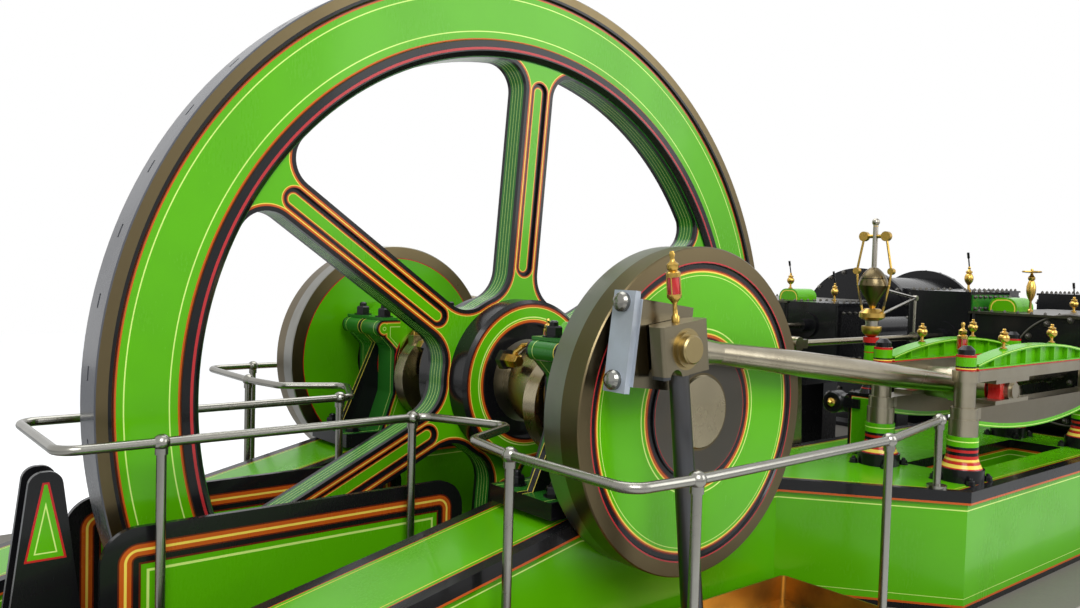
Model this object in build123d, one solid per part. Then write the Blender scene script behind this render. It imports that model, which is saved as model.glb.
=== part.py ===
"""Twin tandem compound stationary steam engine.

Two horizontal engine lines stand either side of a central flywheel. Each line has an overhung
crank disc, a connecting rod, a four-bar crosshead guide and a high and a low pressure cylinder
in tandem. Lengths are millimetres. X runs along the lines towards the cylinders, Y across them
and Z up. The origin is at the middle of the foundation's footprint, on the ground.
"""
from build123d import *
import math
import os

# Foundation and levels, heights measured from the shaft's middle unless named otherwise
WHEEL_RADIUS = 1980.0
WHEEL_ABOVE_GROUND = 120.0
WHEEL_TO_PIT_END = 250.0
FLOOR_BELOW_SHAFT = 1000.0
FOUNDATION_LENGTH = 9700.0
FOUNDATION_HALF_WIDTH = 2030.0
SHAFT_FROM_HEAD_END = 2560.0
WHEEL_PIT_HALF_WIDTH = 215.0
PIT_WALL_THICKNESS = 600.0
CRANK_PIT_HALF_LENGTH = 640.0
CRANK_PIT_INNER = 1140.0
CRANK_PIT_OUTER = 1690.0
CRANK_PIT_END = 832.0

# Flywheel
RIM_WIDTH = 210.0
RIM_INNER_RADIUS = 1595.0
RIM_FACE_OUTER = 1912.0
RIM_FACE_INNER = 1672.0
RIM_FACE_DEPTH = 12.0
RIM_BEAD = 6.0
RIM_OVERLAP = 20.0
RIM_EDGE = 20.0
RIM_STEP = 8.0
RIM_CHAMFER = 6.0
SPOKE_COUNT = 6
SPOKE_ANGLE = 85.5
SPOKE_WIDTH = 175.0
SPOKE_DEPTH = 150.0
SPOKE_PANEL_WIDTH = 92.0
SPOKE_PANEL_START = 520.0
SPOKE_PANEL_END = 1500.0
SPOKE_PANEL_DEPTH = 14.0
SPANDREL_AT_RIM = 130.0
SPANDREL_AT_HUB = 165.0
HUB_WEB_RADIUS = 430.0
HUB_RADIUS = 402.0
HUB_LENGTH = 410.0
HUB_RECESS_RADIUS = 282.0
HUB_RECESS_DEPTH = 34.0
HUB_CHAMFER = 16.0
BARRING_SLOT_COUNT = 45
BARRING_SLOT_PHASE = 0.5
BARRING_SLOT_LENGTH = 55.0
BARRING_SLOT_WIDTH = 18.0
BARRING_SLOT_DEPTH = 36.0

# Crankshaft and crank discs
SHAFT_RADIUS = 150.0
SHAFT_DRUM_RADIUS = 200.0
SHAFT_DRUM_START = 280.0
SHAFT_DRUM_END = 508.0
SHAFT_END_PROUD = 8.0
DISC_RADIUS = 667.0
DISC_THICKNESS = 196.0
DISC_INNER_FACE = 1102.0
DISC_RIM_WIDTH = 66.0
DISC_FACE_DEPTH = 8.0
DISC_CHAMFER = 5.0
DISC_PLATE_RADIUS = 279.0
DISC_BOSS_RADIUS = 232.0
DISC_BOSS_LENGTH = 34.0
CRANK_RADIUS = 482.6
NEAR_CRANK_ANGLE = 143.0
CRANKS_APART = 90.0

# Crank pins and rods
PIN_RADIUS = 75.0
PIN_COLLAR_RADIUS = 104.0
PIN_COLLAR_LENGTH = 18.0
PIN_CLEARANCE = 0.5
PIN_END_RADIUS = 52.0
PIN_END_LENGTH = 24.0
PIN_RIM = 12.0
ROD_LENGTH = 2413.0
ROD_PLANE = 1385.0
ROD_END_RADIUS = 46.0
ROD_MIDDLE_RADIUS = 58.0
ROD_NECK_RADIUS = 64.0
ROD_NECK_LENGTH = 210.0
BIG_END_WIDTH = 132.0
BIG_END_HEIGHT = 366.0
BIG_END_LENGTH = 300.0
BIG_END_CORNER = 26.0
BIG_END_PLATE = 26.0
BIG_END_PLATE_WIDTH = 108.0
BIG_END_NUT_SPACING = 280.0
BIG_END_NUT_RADIUS = 36.0
SMALL_END_RADIUS = 92.0
SMALL_END_WIDTH = 96.0
PUMP_ROD_PLANE = 1504.0
PUMP_BIG_END_WIDTH = 92.0
PUMP_BIG_END_HEIGHT = 188.0
PUMP_BIG_END_LENGTH = 240.0
PUMP_BIG_END_CHAMFER = 30.0
PUMP_BIG_END_ROUND = 12.0
PUMP_BIG_END_ARCH = 30.0
PUMP_BIG_END_ARCH_OFFSET = 62.0
PUMP_ROD_LENGTH = 1550.0
PUMP_ROD_TOP_RADIUS = 36.0
PUMP_ROD_FOOT_RADIUS = 45.0
PUMP_ROD_EYE_RADIUS = 66.0

# Air pump lever under the floor
LEVER_PIVOT_X = 620.0
LEVER_PIVOT_BELOW_SHAFT = 1500.0
LEVER_ARM = 840.0
LEVER_PIN_RADIUS = 32.0
LEVER_THICKNESS = 60.0
LEVER_HEIGHT = 150.0
LEVER_TIP_RADIUS = 55.0
LEVER_GAP = 4.0
LEVER_BRACKET_HALF = 180.0
PUMP_ARM = 430.0
PUMP_BARREL_RADIUS = 138.0
PUMP_BARREL_HEIGHT = 330.0
PUMP_FLANGE = 28.0
PUMP_GLAND_RADIUS = 46.0
PUMP_PLUNGER_RADIUS = 24.0

# Bed
BED_TOP_BELOW_SHAFT = 420.0
BED_INNER = 620.0
BED_OUTER = 1070.0
BED_WIDE_OUTER = 1745.0
BED_FLARE_START = 850.0
BED_FLARE_END = 1385.0
BED_END = 3420.0
BED_TAIL_END = 2360.0
BED_TAIL_START = 430.0
BED_TAIL_SLOPE = 0.22
BED_LIP = 20.0
BED_LIP_HEIGHT = 62.0
TROUGH_START = 1730.0
TROUGH_END = 3010.0
TROUGH_HALF_WIDTH = 150.0
TROUGH_DEPTH = 330.0
TROUGH_CORNER = 30.0

# Main bearings
BEARING_INNER = 640.0
BEARING_OUTER = 1040.0
PEDESTAL_FOOT_HALF = 560.0
PEDESTAL_FOOT_HEIGHT = 70.0
PEDESTAL_SPREAD_HALF = 345.0
PEDESTAL_WAIST_HALF = 275.0
PEDESTAL_WAIST_LOW = -150.0
PEDESTAL_WAIST_HIGH = 95.0
PEDESTAL_TOP = 253.0
PEDESTAL_ROUND = 45.0
NOSE_RADIUS = 45.0
NOSE_X = 343.0
RIB_HEAD_X = 296.0
RIB_HEAD_Z = 117.0
RIB_FOOT_X = 506.0
RIB_THICKNESS = 40.0
CAP_TOP = 325.0
CAP_HALF = 356.0
CAP_LUG = 14.0
CAP_SHOULDER_HALF = 236.0
CAP_CROWN_HALF = 176.0
CAP_ROUND = 12.0
BUSH_RADIUS = 245.0
BUSH_FLANGE_RADIUS = 262.0
BUSH_FLANGE_WIDTH = 20.0
SHAFT_CLEARANCE = 0.3

# Valve gear, opened where the sheave sits on the shaft
SHEAVE_THROW_X = -55.0
SHEAVE_THROW_Z = -55.0
SHEAVE_SEAT_GAP = 5.0
STRAP_RADIUS = 244.0
STRAP_PLANE = 560.0
STRAP_WIDTH = 84.0
STRAP_BAND = 24.0
STRAP_GROOVE = 8.0
STRAP_LUG_X = -199.0
STRAP_LUG_TOP = 175.0
STRAP_LUG_WIDTH = 52.0
STRAP_PALM_RADIUS = 40.0
ECCENTRIC_ROD_RADIUS = 22.0
VALVE_ROD_RADIUS = 20.0
VALVE_ROD_HEIGHT = 160.0
VALVE_ROCKER_X = 1690.0
VALVE_KNUCKLE_RADIUS = 42.0
KNUCKLE_WIDTH = 64.0
KNUCKLE_SLOT = 28.0
KNUCKLE_LENGTH = 80.0
KNUCKLE_ROOT = 26.0
KNUCKLE_PIN_RADIUS = 18.0
KNUCKLE_CLEARANCE = 2.0
ROCKER_PIVOT_BELOW_SHAFT = 560.0
ROCKER_BOSS_RADIUS = 60.0

# Crosshead guides
POST_X = 1600.0
POST_FAR_X = 3140.0
POST_SPACING = 440.0
POST_COLUMN_RADIUS = 50.0
POST_STUD_RADIUS = 32.0
POST_FOOT_RADIUS = 106.0
POST_FOOT_HEIGHT = 62.0
POST_FLARE_RADIUS = 98.0
POST_FLARE_HEIGHT = 93.0
POST_FLARE_SAG = 9.0
POST_BAND_RADIUS = 74.0
POST_NUT_RADIUS = 39.0
POST_NUT_HEIGHT = 44.0
SLIPPER_GAP = 126.0
BAR_LINER = 55.0
BAR_WIDTH = 104.0
BAR_CASTING_WIDTH = 84.0
BAR_FLANGE = 14.0
BAR_WEB = 24.0
BAR_END_RISE = 32.0
BAR_BOW_UP = 76.0
BAR_BOW_DOWN = 60.0
BAR_EYE_RADIUS = 62.0
BAR_BOSS_RADIUS = 47.0
BAR_BOSS_HEIGHT = 78.0
BAR_LOW_BOSS_RADIUS = 68.0
BAR_LOW_BOSS_HEIGHT = 82.0
BAR_ARCH_START = 46.0
BAR_RIB_COUNT = 7
BAR_RIB = 12.0
EYE_CLEARANCE = 0.3
SLIPPER_LENGTH = 380.0
SLIPPER_SHOE = 20.0
SLIPPER_CLEARANCE = 0.3
SLIPPER_BOSS_RADIUS = 56.0
SLIPPER_WEB = 60.0
CROSSHEAD_LENGTH = 300.0
CROSSHEAD_BEAM_RADIUS = 84.0
CROSSHEAD_CHEEK = 112.0
CROSSHEAD_ROUND = 30.0
CROSSHEAD_SLACK = 10.0
CROSSHEAD_PIN_PROUD = 14.0
CROSSHEAD_BOSS_RADIUS = 84.0
CROSSHEAD_PIN_RADIUS = 40.0
PISTON_ROD_RADIUS = 50.0

# Cylinders
HIGH_BORE = 495.3
LOW_BORE = 939.8
HIGH_START = 3420.0
HIGH_LENGTH = 1370.0
HIGH_FOOT_HALF_WIDTH = 380.0
HIGH_COVER_RADIUS = 348.0
LOW_START = 5500.0
LOW_LENGTH = 1400.0
LOW_COVER_RADIUS = 640.0
CYLINDER_WALL = 38.0
LAGGING = 45.0
CYLINDER_FLANGE = 52.0
COVER_STEP = 22.0
CYLINDER_FOOT = 220.0
FOOT_PLATE = 40.0
FOOT_SHARES = (0.2, 0.8)
STUFFING_RADIUS = 112.0
STUFFING_LENGTH = 110.0
CASING_INNER = 740.0
CASING_OUTER = 1790.0
CASING_TOP = 345.0
CASING_BOTTOM = -360.0
CASING_ROUND = 40.0
TOP_PLATE = 16.0
TOP_PLATE_LIP = 14.0
HOOD_START = 3640.0
HOOD_LENGTH = 260.0
HOOD_INNER = 780.0
HOOD_WIDTH = 190.0
HOOD_HEIGHT = 96.0
HOOD_ROUND = 70.0
CHEST_INNER = 270.0
CHEST_START = 3450.0
CHEST_LENGTH = 600.0
CHEST_BOTTOM = -150.0
CHEST_TOP_NEAR = 475.0
CHEST_TOP_FAR = 345.0
LOW_CHEST_OFFSET = 80.0
LOW_CHEST_LENGTH = 1150.0
LOW_CHEST_TOP = 455.0
LOW_CHEST_INNER = 300.0
CHEST_COVER = 18.0
CHEST_COVER_MARGIN = 36.0
GLAND_RADIUS = 100.0
GLAND_FLANGE = 24.0
GLAND_NECK_RADIUS = 50.0
GLAND_LENGTH = 96.0
RECEIVER_PIPE_RADIUS = 110.0
RECEIVER_FLANGE_RADIUS = 165.0
RECEIVER_FLANGE = 30.0
RECEIVER_HEIGHT = 100.0

# Governor on the near line
GOVERNOR_X = 1800.0
GOVERNOR_PLANE = 975.0
GOVERNOR_STAND_HALF = 78.0
GOVERNOR_STAND_TOP = -80.0
GOVERNOR_ROUND = 14.0
GOVERNOR_NECK = 40.0
GOVERNOR_BEAD = 8.0
GOVERNOR_COLUMN_RADIUS = 34.0
GOVERNOR_COLUMN_TOP = 229.0
GOVERNOR_BOWL_RADIUS = 53.0
GOVERNOR_BOWL_HEIGHT = 60.0
GOVERNOR_VASE_RADIUS = 69.0
GOVERNOR_VASE_TOP = 386.0
GOVERNOR_WEIGHT_RADIUS = 80.0
GOVERNOR_WEIGHT_MIDDLE = 514.0
GOVERNOR_WEIGHT_TOP = 613.0
GOVERNOR_SPINDLE_RADIUS = 14.0
GOVERNOR_CROSSBAR_Z = 786.0
GOVERNOR_CROSSBAR_HALF = 66.0
GOVERNOR_ARM_REACH = 104.0
GOVERNOR_ARM_JOINT_Z = 594.0
GOVERNOR_ARM = 13.0
GOVERNOR_EYE_RADIUS = 27.0
GOVERNOR_BALL_Z = 865.0
GOVERNOR_BALL_RADIUS = 21.0
GOVERNOR_LINK_RADIUS = 9.0
GOVERNOR_LINK_EYE = 18.0
GOVERNOR_LINK_X = 3040.0
GOVERNOR_LINK_TOP = 425.0
GOVERNOR_LINK_ENDS = ((1905.0, -938.0, 335.0), (1932.0, -926.0, 500.0))
GOVERNOR_DRIVE_OFFSET = -100.0
GOVERNOR_DRIVE_RADIUS = 52.0
GOVERNOR_DRIVE_LENGTH = 110.0
GOVERNOR_DRIVE_Z = -140.0

# Guards, rails, barring stand and trays
GUARD_PLANE = 268.0
GUARD_THICKNESS = 26.0
GUARD_TOP_BELOW_SHAFT = 412.0
GUARD_START = 450.0
GUARD_PAST_PIT = 40.0
GUARD_CORNER = 130.0
RAIL_BELOW_SHAFT = 100.0
RAIL_RADIUS = 18.0
RAIL_BALL_RADIUS = 31.0
RAIL_PLANE = 335.0
RAIL_FROM_WHEEL = 170.0
RAIL_BEND = 70.0
STAND_FROM_WHEEL = 150.0
STAND_HEIGHT = 780.0
STAND_FOOT_HALF = 150.0
STAND_PLATE = 24.0
STAND_PLATE_GAP = 120.0
STAND_TOP_HALF = 52.0
STAND_BASE = 60.0
RAIL_SOCKET = 44.0
RAIL_SOCKET_RADIUS = 23.0
RAIL_FLANGE_RADIUS = 46.0
RAIL_FLANGE_HEIGHT = 14.0
TRAY_HEIGHT = 120.0
TRAY_WALL = 6.0
TRAY_MARGIN = 16.0
TRAY_CORNER = 30.0
TRAY_SLOT_WIDTH = 130.0
TRAY_SLOT_HEAD = 0.85
TRAY_SLOT_FOOT = 0.35

# Oil cups
BAR_CUP_PLACES = (2000.0, 2595.0)
BAR_CUP_HEIGHT = 104.0
BAR_CUP_RADIUS = 21.0
CUP_PAD = 4.0
SIGHT_CUP_RADIUS = 27.0
SMALL_END_CUP_HEIGHT = 240.0
CRANK_CUP_HEIGHT = 255.0
SHEAVE_CUP_HEIGHT = 160.0
CASING_CUP_RADIUS = 30.0

# Places that follow from the sizes above
SHAFT_HEIGHT = WHEEL_RADIUS + WHEEL_ABOVE_GROUND
WHEEL_PIT_HALF_LENGTH = math.sqrt(WHEEL_RADIUS ** 2 - FLOOR_BELOW_SHAFT ** 2) + WHEEL_TO_PIT_END
GUARD_END = WHEEL_PIT_HALF_LENGTH + GUARD_PAST_PIT
STAND_X = -WHEEL_RADIUS - STAND_FROM_WHEEL
RAIL_LOOP_X = -WHEEL_RADIUS - RAIL_FROM_WHEEL
SHAFT_X = SHAFT_FROM_HEAD_END - FOUNDATION_LENGTH / 2
FLOOR = -FLOOR_BELOW_SHAFT
GROUND = -SHAFT_HEIGHT
BED_TOP = -BED_TOP_BELOW_SHAFT
FOOT_X = FOUNDATION_LENGTH - SHAFT_FROM_HEAD_END
HEAD_X = -SHAFT_FROM_HEAD_END
DISC_OUTER_FACE = DISC_INNER_FACE + DISC_THICKNESS
BAR_TOP = SLIPPER_GAP / 2 + BAR_LINER
POST_TOP = BAR_TOP + BAR_BOSS_HEIGHT
FAR_CRANK_ANGLE = NEAR_CRANK_ANGLE - CRANKS_APART
STEAM_CUPS_NEAR = ((3670.0, 1043.0, CASING_TOP, 300.0), (3600.0, 650.0, CHEST_TOP_NEAR, 175.0),
                   (4340.0, 1070.0, CASING_TOP, 110.0))
STEAM_CUPS_FAR = ((3660.0, 875.0, CASING_TOP + HOOD_HEIGHT, 130.0),
                  (4000.0, 671.0, CHEST_TOP_FAR, 150.0))
RAIL_ROUTE = [(RAIL_LOOP_X, 0), (RAIL_LOOP_X, RAIL_PLANE), (-700, RAIL_PLANE), (-520, 720),
              (-830, 880), (-880, 1160), (-880, 1780), (-600, 1800), (620, 1770), (1330, 1620)]
RAIL_STANCHIONS = [(-1810, RAIL_PLANE, FLOOR), (-760, RAIL_PLANE, FLOOR), (-880, 1180, FLOOR),
                   (-600, 1800, FLOOR), (620, 1770, FLOOR), (1330, 1620, BED_TOP)]


def box(x0, x1, y0, y1, z0, z1):
    """A plain block between two corners."""
    return Pos((x0 + x1) / 2, (y0 + y1) / 2, (z0 + z1) / 2) * Box(x1 - x0, y1 - y0, z1 - z0)


def turned(points):
    """A solid turned about the Y axis from (radius, y) points."""
    return revolve(make_face(Polyline(*[(r, y, 0) for r, y in points], close=True)), Axis.Y)


def turned_upright(points, x=0.0, y=0.0):
    """A solid turned about a vertical axis at x, y from (radius, z) points."""
    profile = make_face(Polyline(*[(r, 0, z) for r, z in points], close=True))
    return Pos(x, y, 0) * revolve(profile, Axis.Z)


def turned_along(points, y=0.0, z=0.0):
    """A solid turned about a lengthwise axis at y, z from (x, radius) points."""
    profile = make_face(Polyline(*[(x, 0, r) for x, r in points], close=True))
    return Pos(0, y, z) * revolve(profile, Axis.X)


def side_plate(points, y0, y1):
    """A plate cut to an outline of (x, z) points, between two values of y."""
    face = make_face(Polyline(*[(x, y0, z) for x, z in points], close=True))
    return extrude(face, amount=y1 - y0, dir=(0, 1, 0))


def plan_block(points, z0, z1):
    """A block with an outline of (x, y) points, between two heights."""
    face = make_face(Polyline(*[(x, y, z0) for x, y in points], close=True))
    return extrude(face, amount=z1 - z0, dir=(0, 0, 1))


def cross_pin(x, z, radius, y0, y1):
    """A round bar across the engine, centred on x, z."""
    return Pos(x, (y0 + y1) / 2, z) * Rot(90, 0, 0) * Cylinder(radius, y1 - y0)


def upright(x, y, radius, z0, z1):
    """A round bar standing at x, y."""
    return Pos(x, y, (z0 + z1) / 2) * Cylinder(radius, z1 - z0)


def rounded_plate(points, radius, y0, y1):
    """A plate cut to an outline of (x, z) points with rounded corners above the lowest level."""
    face = make_face(Polyline(*[(x, 0, z) for x, z in points], close=True))
    plate = Pos(0, y0, 0) * extrude(face, amount=y1 - y0, dir=(0, 1, 0))
    foot = min(z for x, z in points)
    corners = [e for e in plate.edges().filter_by(Axis.Y) if e.center().Z > foot + 1]
    return fillet(corners, radius)


def link(start, end, radius):
    """A round rod between two points."""
    path = Vector(*end) - Vector(*start)
    return Plane(origin=start, z_dir=path) * Pos(0, 0, path.length / 2) * Cylinder(radius, path.length)


def crank_pin_place(angle):
    """Where the crank pin of a line stands, as (x, z)."""
    turn = math.radians(angle)
    return CRANK_RADIUS * math.cos(turn), CRANK_RADIUS * math.sin(turn)


def crosshead_x(angle):
    """How far along the line the crosshead pin stands."""
    x, z = crank_pin_place(angle)
    return x + math.sqrt(ROD_LENGTH ** 2 - z ** 2)


def lever_end(angle):
    """Where the pump rod's foot meets the lever, as (x, z)."""
    cx, cz = crank_pin_place(angle)
    dx = LEVER_PIVOT_X - cx
    dz = -LEVER_PIVOT_BELOW_SHAFT - cz
    reach = math.hypot(dx, dz)
    along = (PUMP_ROD_LENGTH ** 2 - LEVER_ARM ** 2 + reach ** 2) / (2 * reach)
    across = math.sqrt(PUMP_ROD_LENGTH ** 2 - along ** 2)
    ux, uz = dx / reach, dz / reach
    return cx + ux * along + uz * across, cz + uz * along - ux * across


def foundation():
    """Masonry under one line, with the crank pit through it."""
    block = box(HEAD_X, FOOT_X, WHEEL_PIT_HALF_WIDTH, FOUNDATION_HALF_WIDTH, GROUND, FLOOR)
    return block - box(-CRANK_PIT_HALF_LENGTH, CRANK_PIT_END, CRANK_PIT_INNER, CRANK_PIT_OUTER,
                       GROUND, FLOOR)


def wheel_pit_walls():
    """Masonry across both ends of the wheel pit, between the two lines."""
    ends = ((HEAD_X, -WHEEL_PIT_HALF_LENGTH),
            (WHEEL_PIT_HALF_LENGTH, WHEEL_PIT_HALF_LENGTH + PIT_WALL_THICKNESS))
    return Compound([box(x0, x1, -WHEEL_PIT_HALF_WIDTH, WHEEL_PIT_HALF_WIDTH, GROUND, FLOOR)
                     for x0, x1 in ends])


def bed():
    """The cast bed of one line: a sloping tail, a narrow waist and a wide guide end, all lipped."""
    drop = (BED_TAIL_END - BED_TAIL_START) * BED_TAIL_SLOPE
    plan = [(-BED_TAIL_END, BED_INNER), (BED_END, BED_INNER), (BED_END, BED_WIDE_OUTER),
            (BED_FLARE_END, BED_WIDE_OUTER), (BED_FLARE_START, BED_OUTER),
            (-BED_TAIL_END, BED_OUTER)]
    top = [(BED_END, BED_TOP), (-BED_TAIL_START, BED_TOP), (-BED_TAIL_END, BED_TOP - drop)]
    side = [(-BED_TAIL_END, FLOOR), (BED_END, FLOOR)] + top
    body = plan_block(plan, FLOOR, BED_TOP) & side_plate(side, BED_INNER, BED_WIDE_OUTER)
    ends = [(BED_END + BED_LIP, BED_TOP), (-BED_TAIL_START, BED_TOP),
            (-BED_TAIL_END - BED_LIP, BED_TOP - drop - BED_LIP * BED_TAIL_SLOPE)]
    band = ends + [(x, z - BED_LIP_HEIGHT) for x, z in reversed(ends)]
    rim = offset(make_face(Polyline(*plan, close=True)), BED_LIP, kind=Kind.INTERSECTION)
    lip = Pos(0, 0, FLOOR) * extrude(rim, FLOOR_BELOW_SHAFT)
    body += lip & side_plate(band, BED_INNER - BED_LIP, BED_WIDE_OUTER + BED_LIP)
    trough = box(TROUGH_START, TROUGH_END, ROD_PLANE - TROUGH_HALF_WIDTH,
                 ROD_PLANE + TROUGH_HALF_WIDTH, BED_TOP - TROUGH_DEPTH, BED_TOP)
    return body - fillet(trough.edges().filter_by(Axis.Z), TROUGH_CORNER)


def pedestal():
    """The main bearing's lower casting: waisted cheeks, round noses, side ribs and a broad foot."""
    foot = BED_TOP + PEDESTAL_FOOT_HEIGHT
    nose_foot = PEDESTAL_TOP - 2 * NOSE_RADIUS
    half = [(PEDESTAL_SPREAD_HALF, foot), (PEDESTAL_WAIST_HALF, PEDESTAL_WAIST_LOW),
            (PEDESTAL_WAIST_HALF, PEDESTAL_WAIST_HIGH), (NOSE_X, nose_foot), (NOSE_X, PEDESTAL_TOP)]
    body = side_plate(half + [(-x, z) for x, z in reversed(half)], BEARING_INNER, BEARING_OUTER)
    waists = [e for e in body.edges().filter_by(Axis.Y)
              if foot + 1 < e.center().Z < nose_foot - 1]
    body = fillet(waists, PEDESTAL_ROUND)
    body += box(-PEDESTAL_FOOT_HALF, PEDESTAL_FOOT_HALF, BEARING_INNER, BEARING_OUTER, BED_TOP, foot)
    middle = (BEARING_INNER + BEARING_OUTER) / 2
    for side in (-1, 1):
        body += cross_pin(side * NOSE_X, PEDESTAL_TOP - NOSE_RADIUS, NOSE_RADIUS,
                          BEARING_INNER, BEARING_OUTER)
        rib = [(side * BUSH_RADIUS, foot), (side * RIB_FOOT_X, foot), (side * RIB_HEAD_X, RIB_HEAD_Z),
               (side * BUSH_RADIUS, RIB_HEAD_Z)]
        body += side_plate(rib, middle - RIB_THICKNESS / 2, middle + RIB_THICKNESS / 2)
    body -= cross_pin(0, 0, BUSH_RADIUS, BEARING_INNER, BEARING_OUTER)
    return body - box(-BUSH_RADIUS, BUSH_RADIUS, BEARING_INNER, BEARING_OUTER, 0, CAP_TOP)


def bearing_cap():
    """The main bearing's cap: a block between the cheeks, with lugs that are bolted down on them."""
    lug = PEDESTAL_TOP + CAP_LUG
    half = [(CAP_HALF, PEDESTAL_TOP), (CAP_HALF, lug), (CAP_SHOULDER_HALF, lug), (CAP_CROWN_HALF, CAP_TOP)]
    body = side_plate(half + [(-x, z) for x, z in reversed(half)], BEARING_INNER, BEARING_OUTER)
    crown = [e for e in body.edges().filter_by(Axis.Y) if e.center().Z > CAP_TOP - 1]
    body = fillet(crown, CAP_ROUND)
    body += box(-BUSH_RADIUS, BUSH_RADIUS, BEARING_INNER, BEARING_OUTER, 0, PEDESTAL_TOP)
    return body - cross_pin(0, 0, BUSH_RADIUS, BEARING_INNER, BEARING_OUTER)


def bearing_bush():
    """The flanged bush that the shaft turns in."""
    bore = SHAFT_RADIUS + SHAFT_CLEARANCE
    start = BEARING_INNER - BUSH_FLANGE_WIDTH
    return turned([(bore, start), (BUSH_FLANGE_RADIUS, start), (BUSH_FLANGE_RADIUS, BEARING_INNER),
                   (BUSH_RADIUS, BEARING_INNER), (BUSH_RADIUS, BEARING_OUTER), (bore, BEARING_OUTER)])


def spoke_outline():
    """The flat shape of hub web, spokes and rim ring, with its spandrels."""
    shape = Circle(HUB_WEB_RADIUS)
    reach = (RIM_INNER_RADIUS + RIM_FACE_INNER) / 2
    for n in range(SPOKE_COUNT):
        turn = SPOKE_ANGLE + n * 360 / SPOKE_COUNT
        shape += Rot(0, 0, turn) * Pos(reach / 2, 0) * Rectangle(reach, SPOKE_WIDTH)
    shape += Circle(reach + RIM_OVERLAP) - Circle(RIM_INNER_RADIUS - RIM_BEAD)
    at_hub = [v for v in shape.vertices() if v.center().length < HUB_WEB_RADIUS + RIM_BEAD]
    shape = fillet(at_hub, SPANDREL_AT_HUB)
    at_rim = [v for v in shape.vertices()
              if abs(v.center().length - RIM_INNER_RADIUS + RIM_BEAD) < RIM_BEAD / 2]
    return fillet(at_rim, SPANDREL_AT_RIM)


def mirrored(half):
    """A closed (radius, y) outline from its half with y above nought, given from y nought up."""
    return half + [(r, -y) for r, y in reversed(half)]


def flywheel_rim():
    """The rim: a flat tread, two sunk bands of lining and a raised inner edge."""
    half = RIM_WIDTH / 2
    face = half - RIM_FACE_DEPTH
    return turned(mirrored([
        (RIM_INNER_RADIUS, half - RIM_EDGE), (RIM_INNER_RADIUS + RIM_EDGE, half),
        (RIM_FACE_INNER - RIM_STEP, half), (RIM_FACE_INNER, face), (RIM_FACE_OUTER, face),
        (RIM_FACE_OUTER + RIM_STEP, half), (WHEEL_RADIUS - RIM_CHAMFER, half),
        (WHEEL_RADIUS, half - RIM_CHAMFER)]))


def barring_slots():
    """The slots round the tread that the barring lever works in."""
    slot = box(WHEEL_RADIUS - BARRING_SLOT_DEPTH, WHEEL_RADIUS + RIM_CHAMFER,
               -BARRING_SLOT_WIDTH / 2, BARRING_SLOT_WIDTH / 2,
               -BARRING_SLOT_LENGTH / 2, BARRING_SLOT_LENGTH / 2)
    step = 360 / BARRING_SLOT_COUNT
    return [Rot(0, -BARRING_SLOT_PHASE - n * step, 0) * slot for n in range(BARRING_SLOT_COUNT)]


def spoke_panels():
    """The long round-ended recesses on both faces of every spoke."""
    length = SPOKE_PANEL_END - SPOKE_PANEL_START
    middle = (SPOKE_PANEL_START + SPOKE_PANEL_END) / 2
    panel = extrude(SlotOverall(length, SPOKE_PANEL_WIDTH), SPOKE_PANEL_DEPTH)
    levels = (SPOKE_DEPTH / 2 - SPOKE_PANEL_DEPTH, -SPOKE_DEPTH / 2)
    turns = [SPOKE_ANGLE + n * 360 / SPOKE_COUNT for n in range(SPOKE_COUNT)]
    return [Rot(90, 0, 0) * Rot(0, 0, turn) * Pos(middle, 0, level) * panel
            for turn in turns for level in levels]


def flywheel():
    """The flywheel: hub, six panelled spokes and slotted rim, about the shaft line."""
    spider = Rot(90, 0, 0) * Pos(0, 0, -SPOKE_DEPTH / 2) * extrude(spoke_outline(), SPOKE_DEPTH)
    recess = HUB_LENGTH / 2 - HUB_RECESS_DEPTH
    hub = turned(mirrored([(SHAFT_RADIUS, recess), (HUB_RECESS_RADIUS, recess),
                           (HUB_RECESS_RADIUS, HUB_LENGTH / 2), (HUB_RADIUS - HUB_CHAMFER, HUB_LENGTH / 2),
                           (HUB_RADIUS, HUB_LENGTH / 2 - HUB_CHAMFER)]))
    wheel = flywheel_rim() + spider + hub
    wheel -= spoke_panels() + barring_slots()
    return wheel - cross_pin(0, 0, SHAFT_RADIUS, -HUB_LENGTH, HUB_LENGTH)


def crankshaft():
    """The shaft through wheel, bearings and discs, with a drum either side of the hub."""
    end = DISC_OUTER_FACE + SHAFT_END_PROUD
    half = [(SHAFT_DRUM_RADIUS, SHAFT_DRUM_START), (SHAFT_DRUM_RADIUS, SHAFT_DRUM_END),
            (SHAFT_RADIUS, SHAFT_DRUM_END), (SHAFT_RADIUS, end - RIM_CHAMFER),
            (SHAFT_RADIUS - RIM_CHAMFER, end), (0, end)]
    return turned(mirrored([(SHAFT_RADIUS, 0), (SHAFT_RADIUS, SHAFT_DRUM_START)] + half)[1:-1])


def crank_disc():
    """The balanced crank disc of one line, with a recessed face and a raised middle plate."""
    face = DISC_OUTER_FACE - DISC_FACE_DEPTH
    ring = DISC_RADIUS - DISC_RIM_WIDTH
    boss = DISC_INNER_FACE - DISC_BOSS_LENGTH
    edge = DISC_CHAMFER
    return turned([(SHAFT_RADIUS, boss), (DISC_BOSS_RADIUS, boss), (DISC_BOSS_RADIUS, DISC_INNER_FACE),
                   (DISC_RADIUS - edge, DISC_INNER_FACE), (DISC_RADIUS, DISC_INNER_FACE + edge),
                   (DISC_RADIUS, DISC_OUTER_FACE - edge), (DISC_RADIUS - edge, DISC_OUTER_FACE),
                   (ring, DISC_OUTER_FACE), (ring - edge, face), (DISC_PLATE_RADIUS, face),
                   (DISC_PLATE_RADIUS, DISC_OUTER_FACE), (SHAFT_RADIUS, DISC_OUTER_FACE)])


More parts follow.
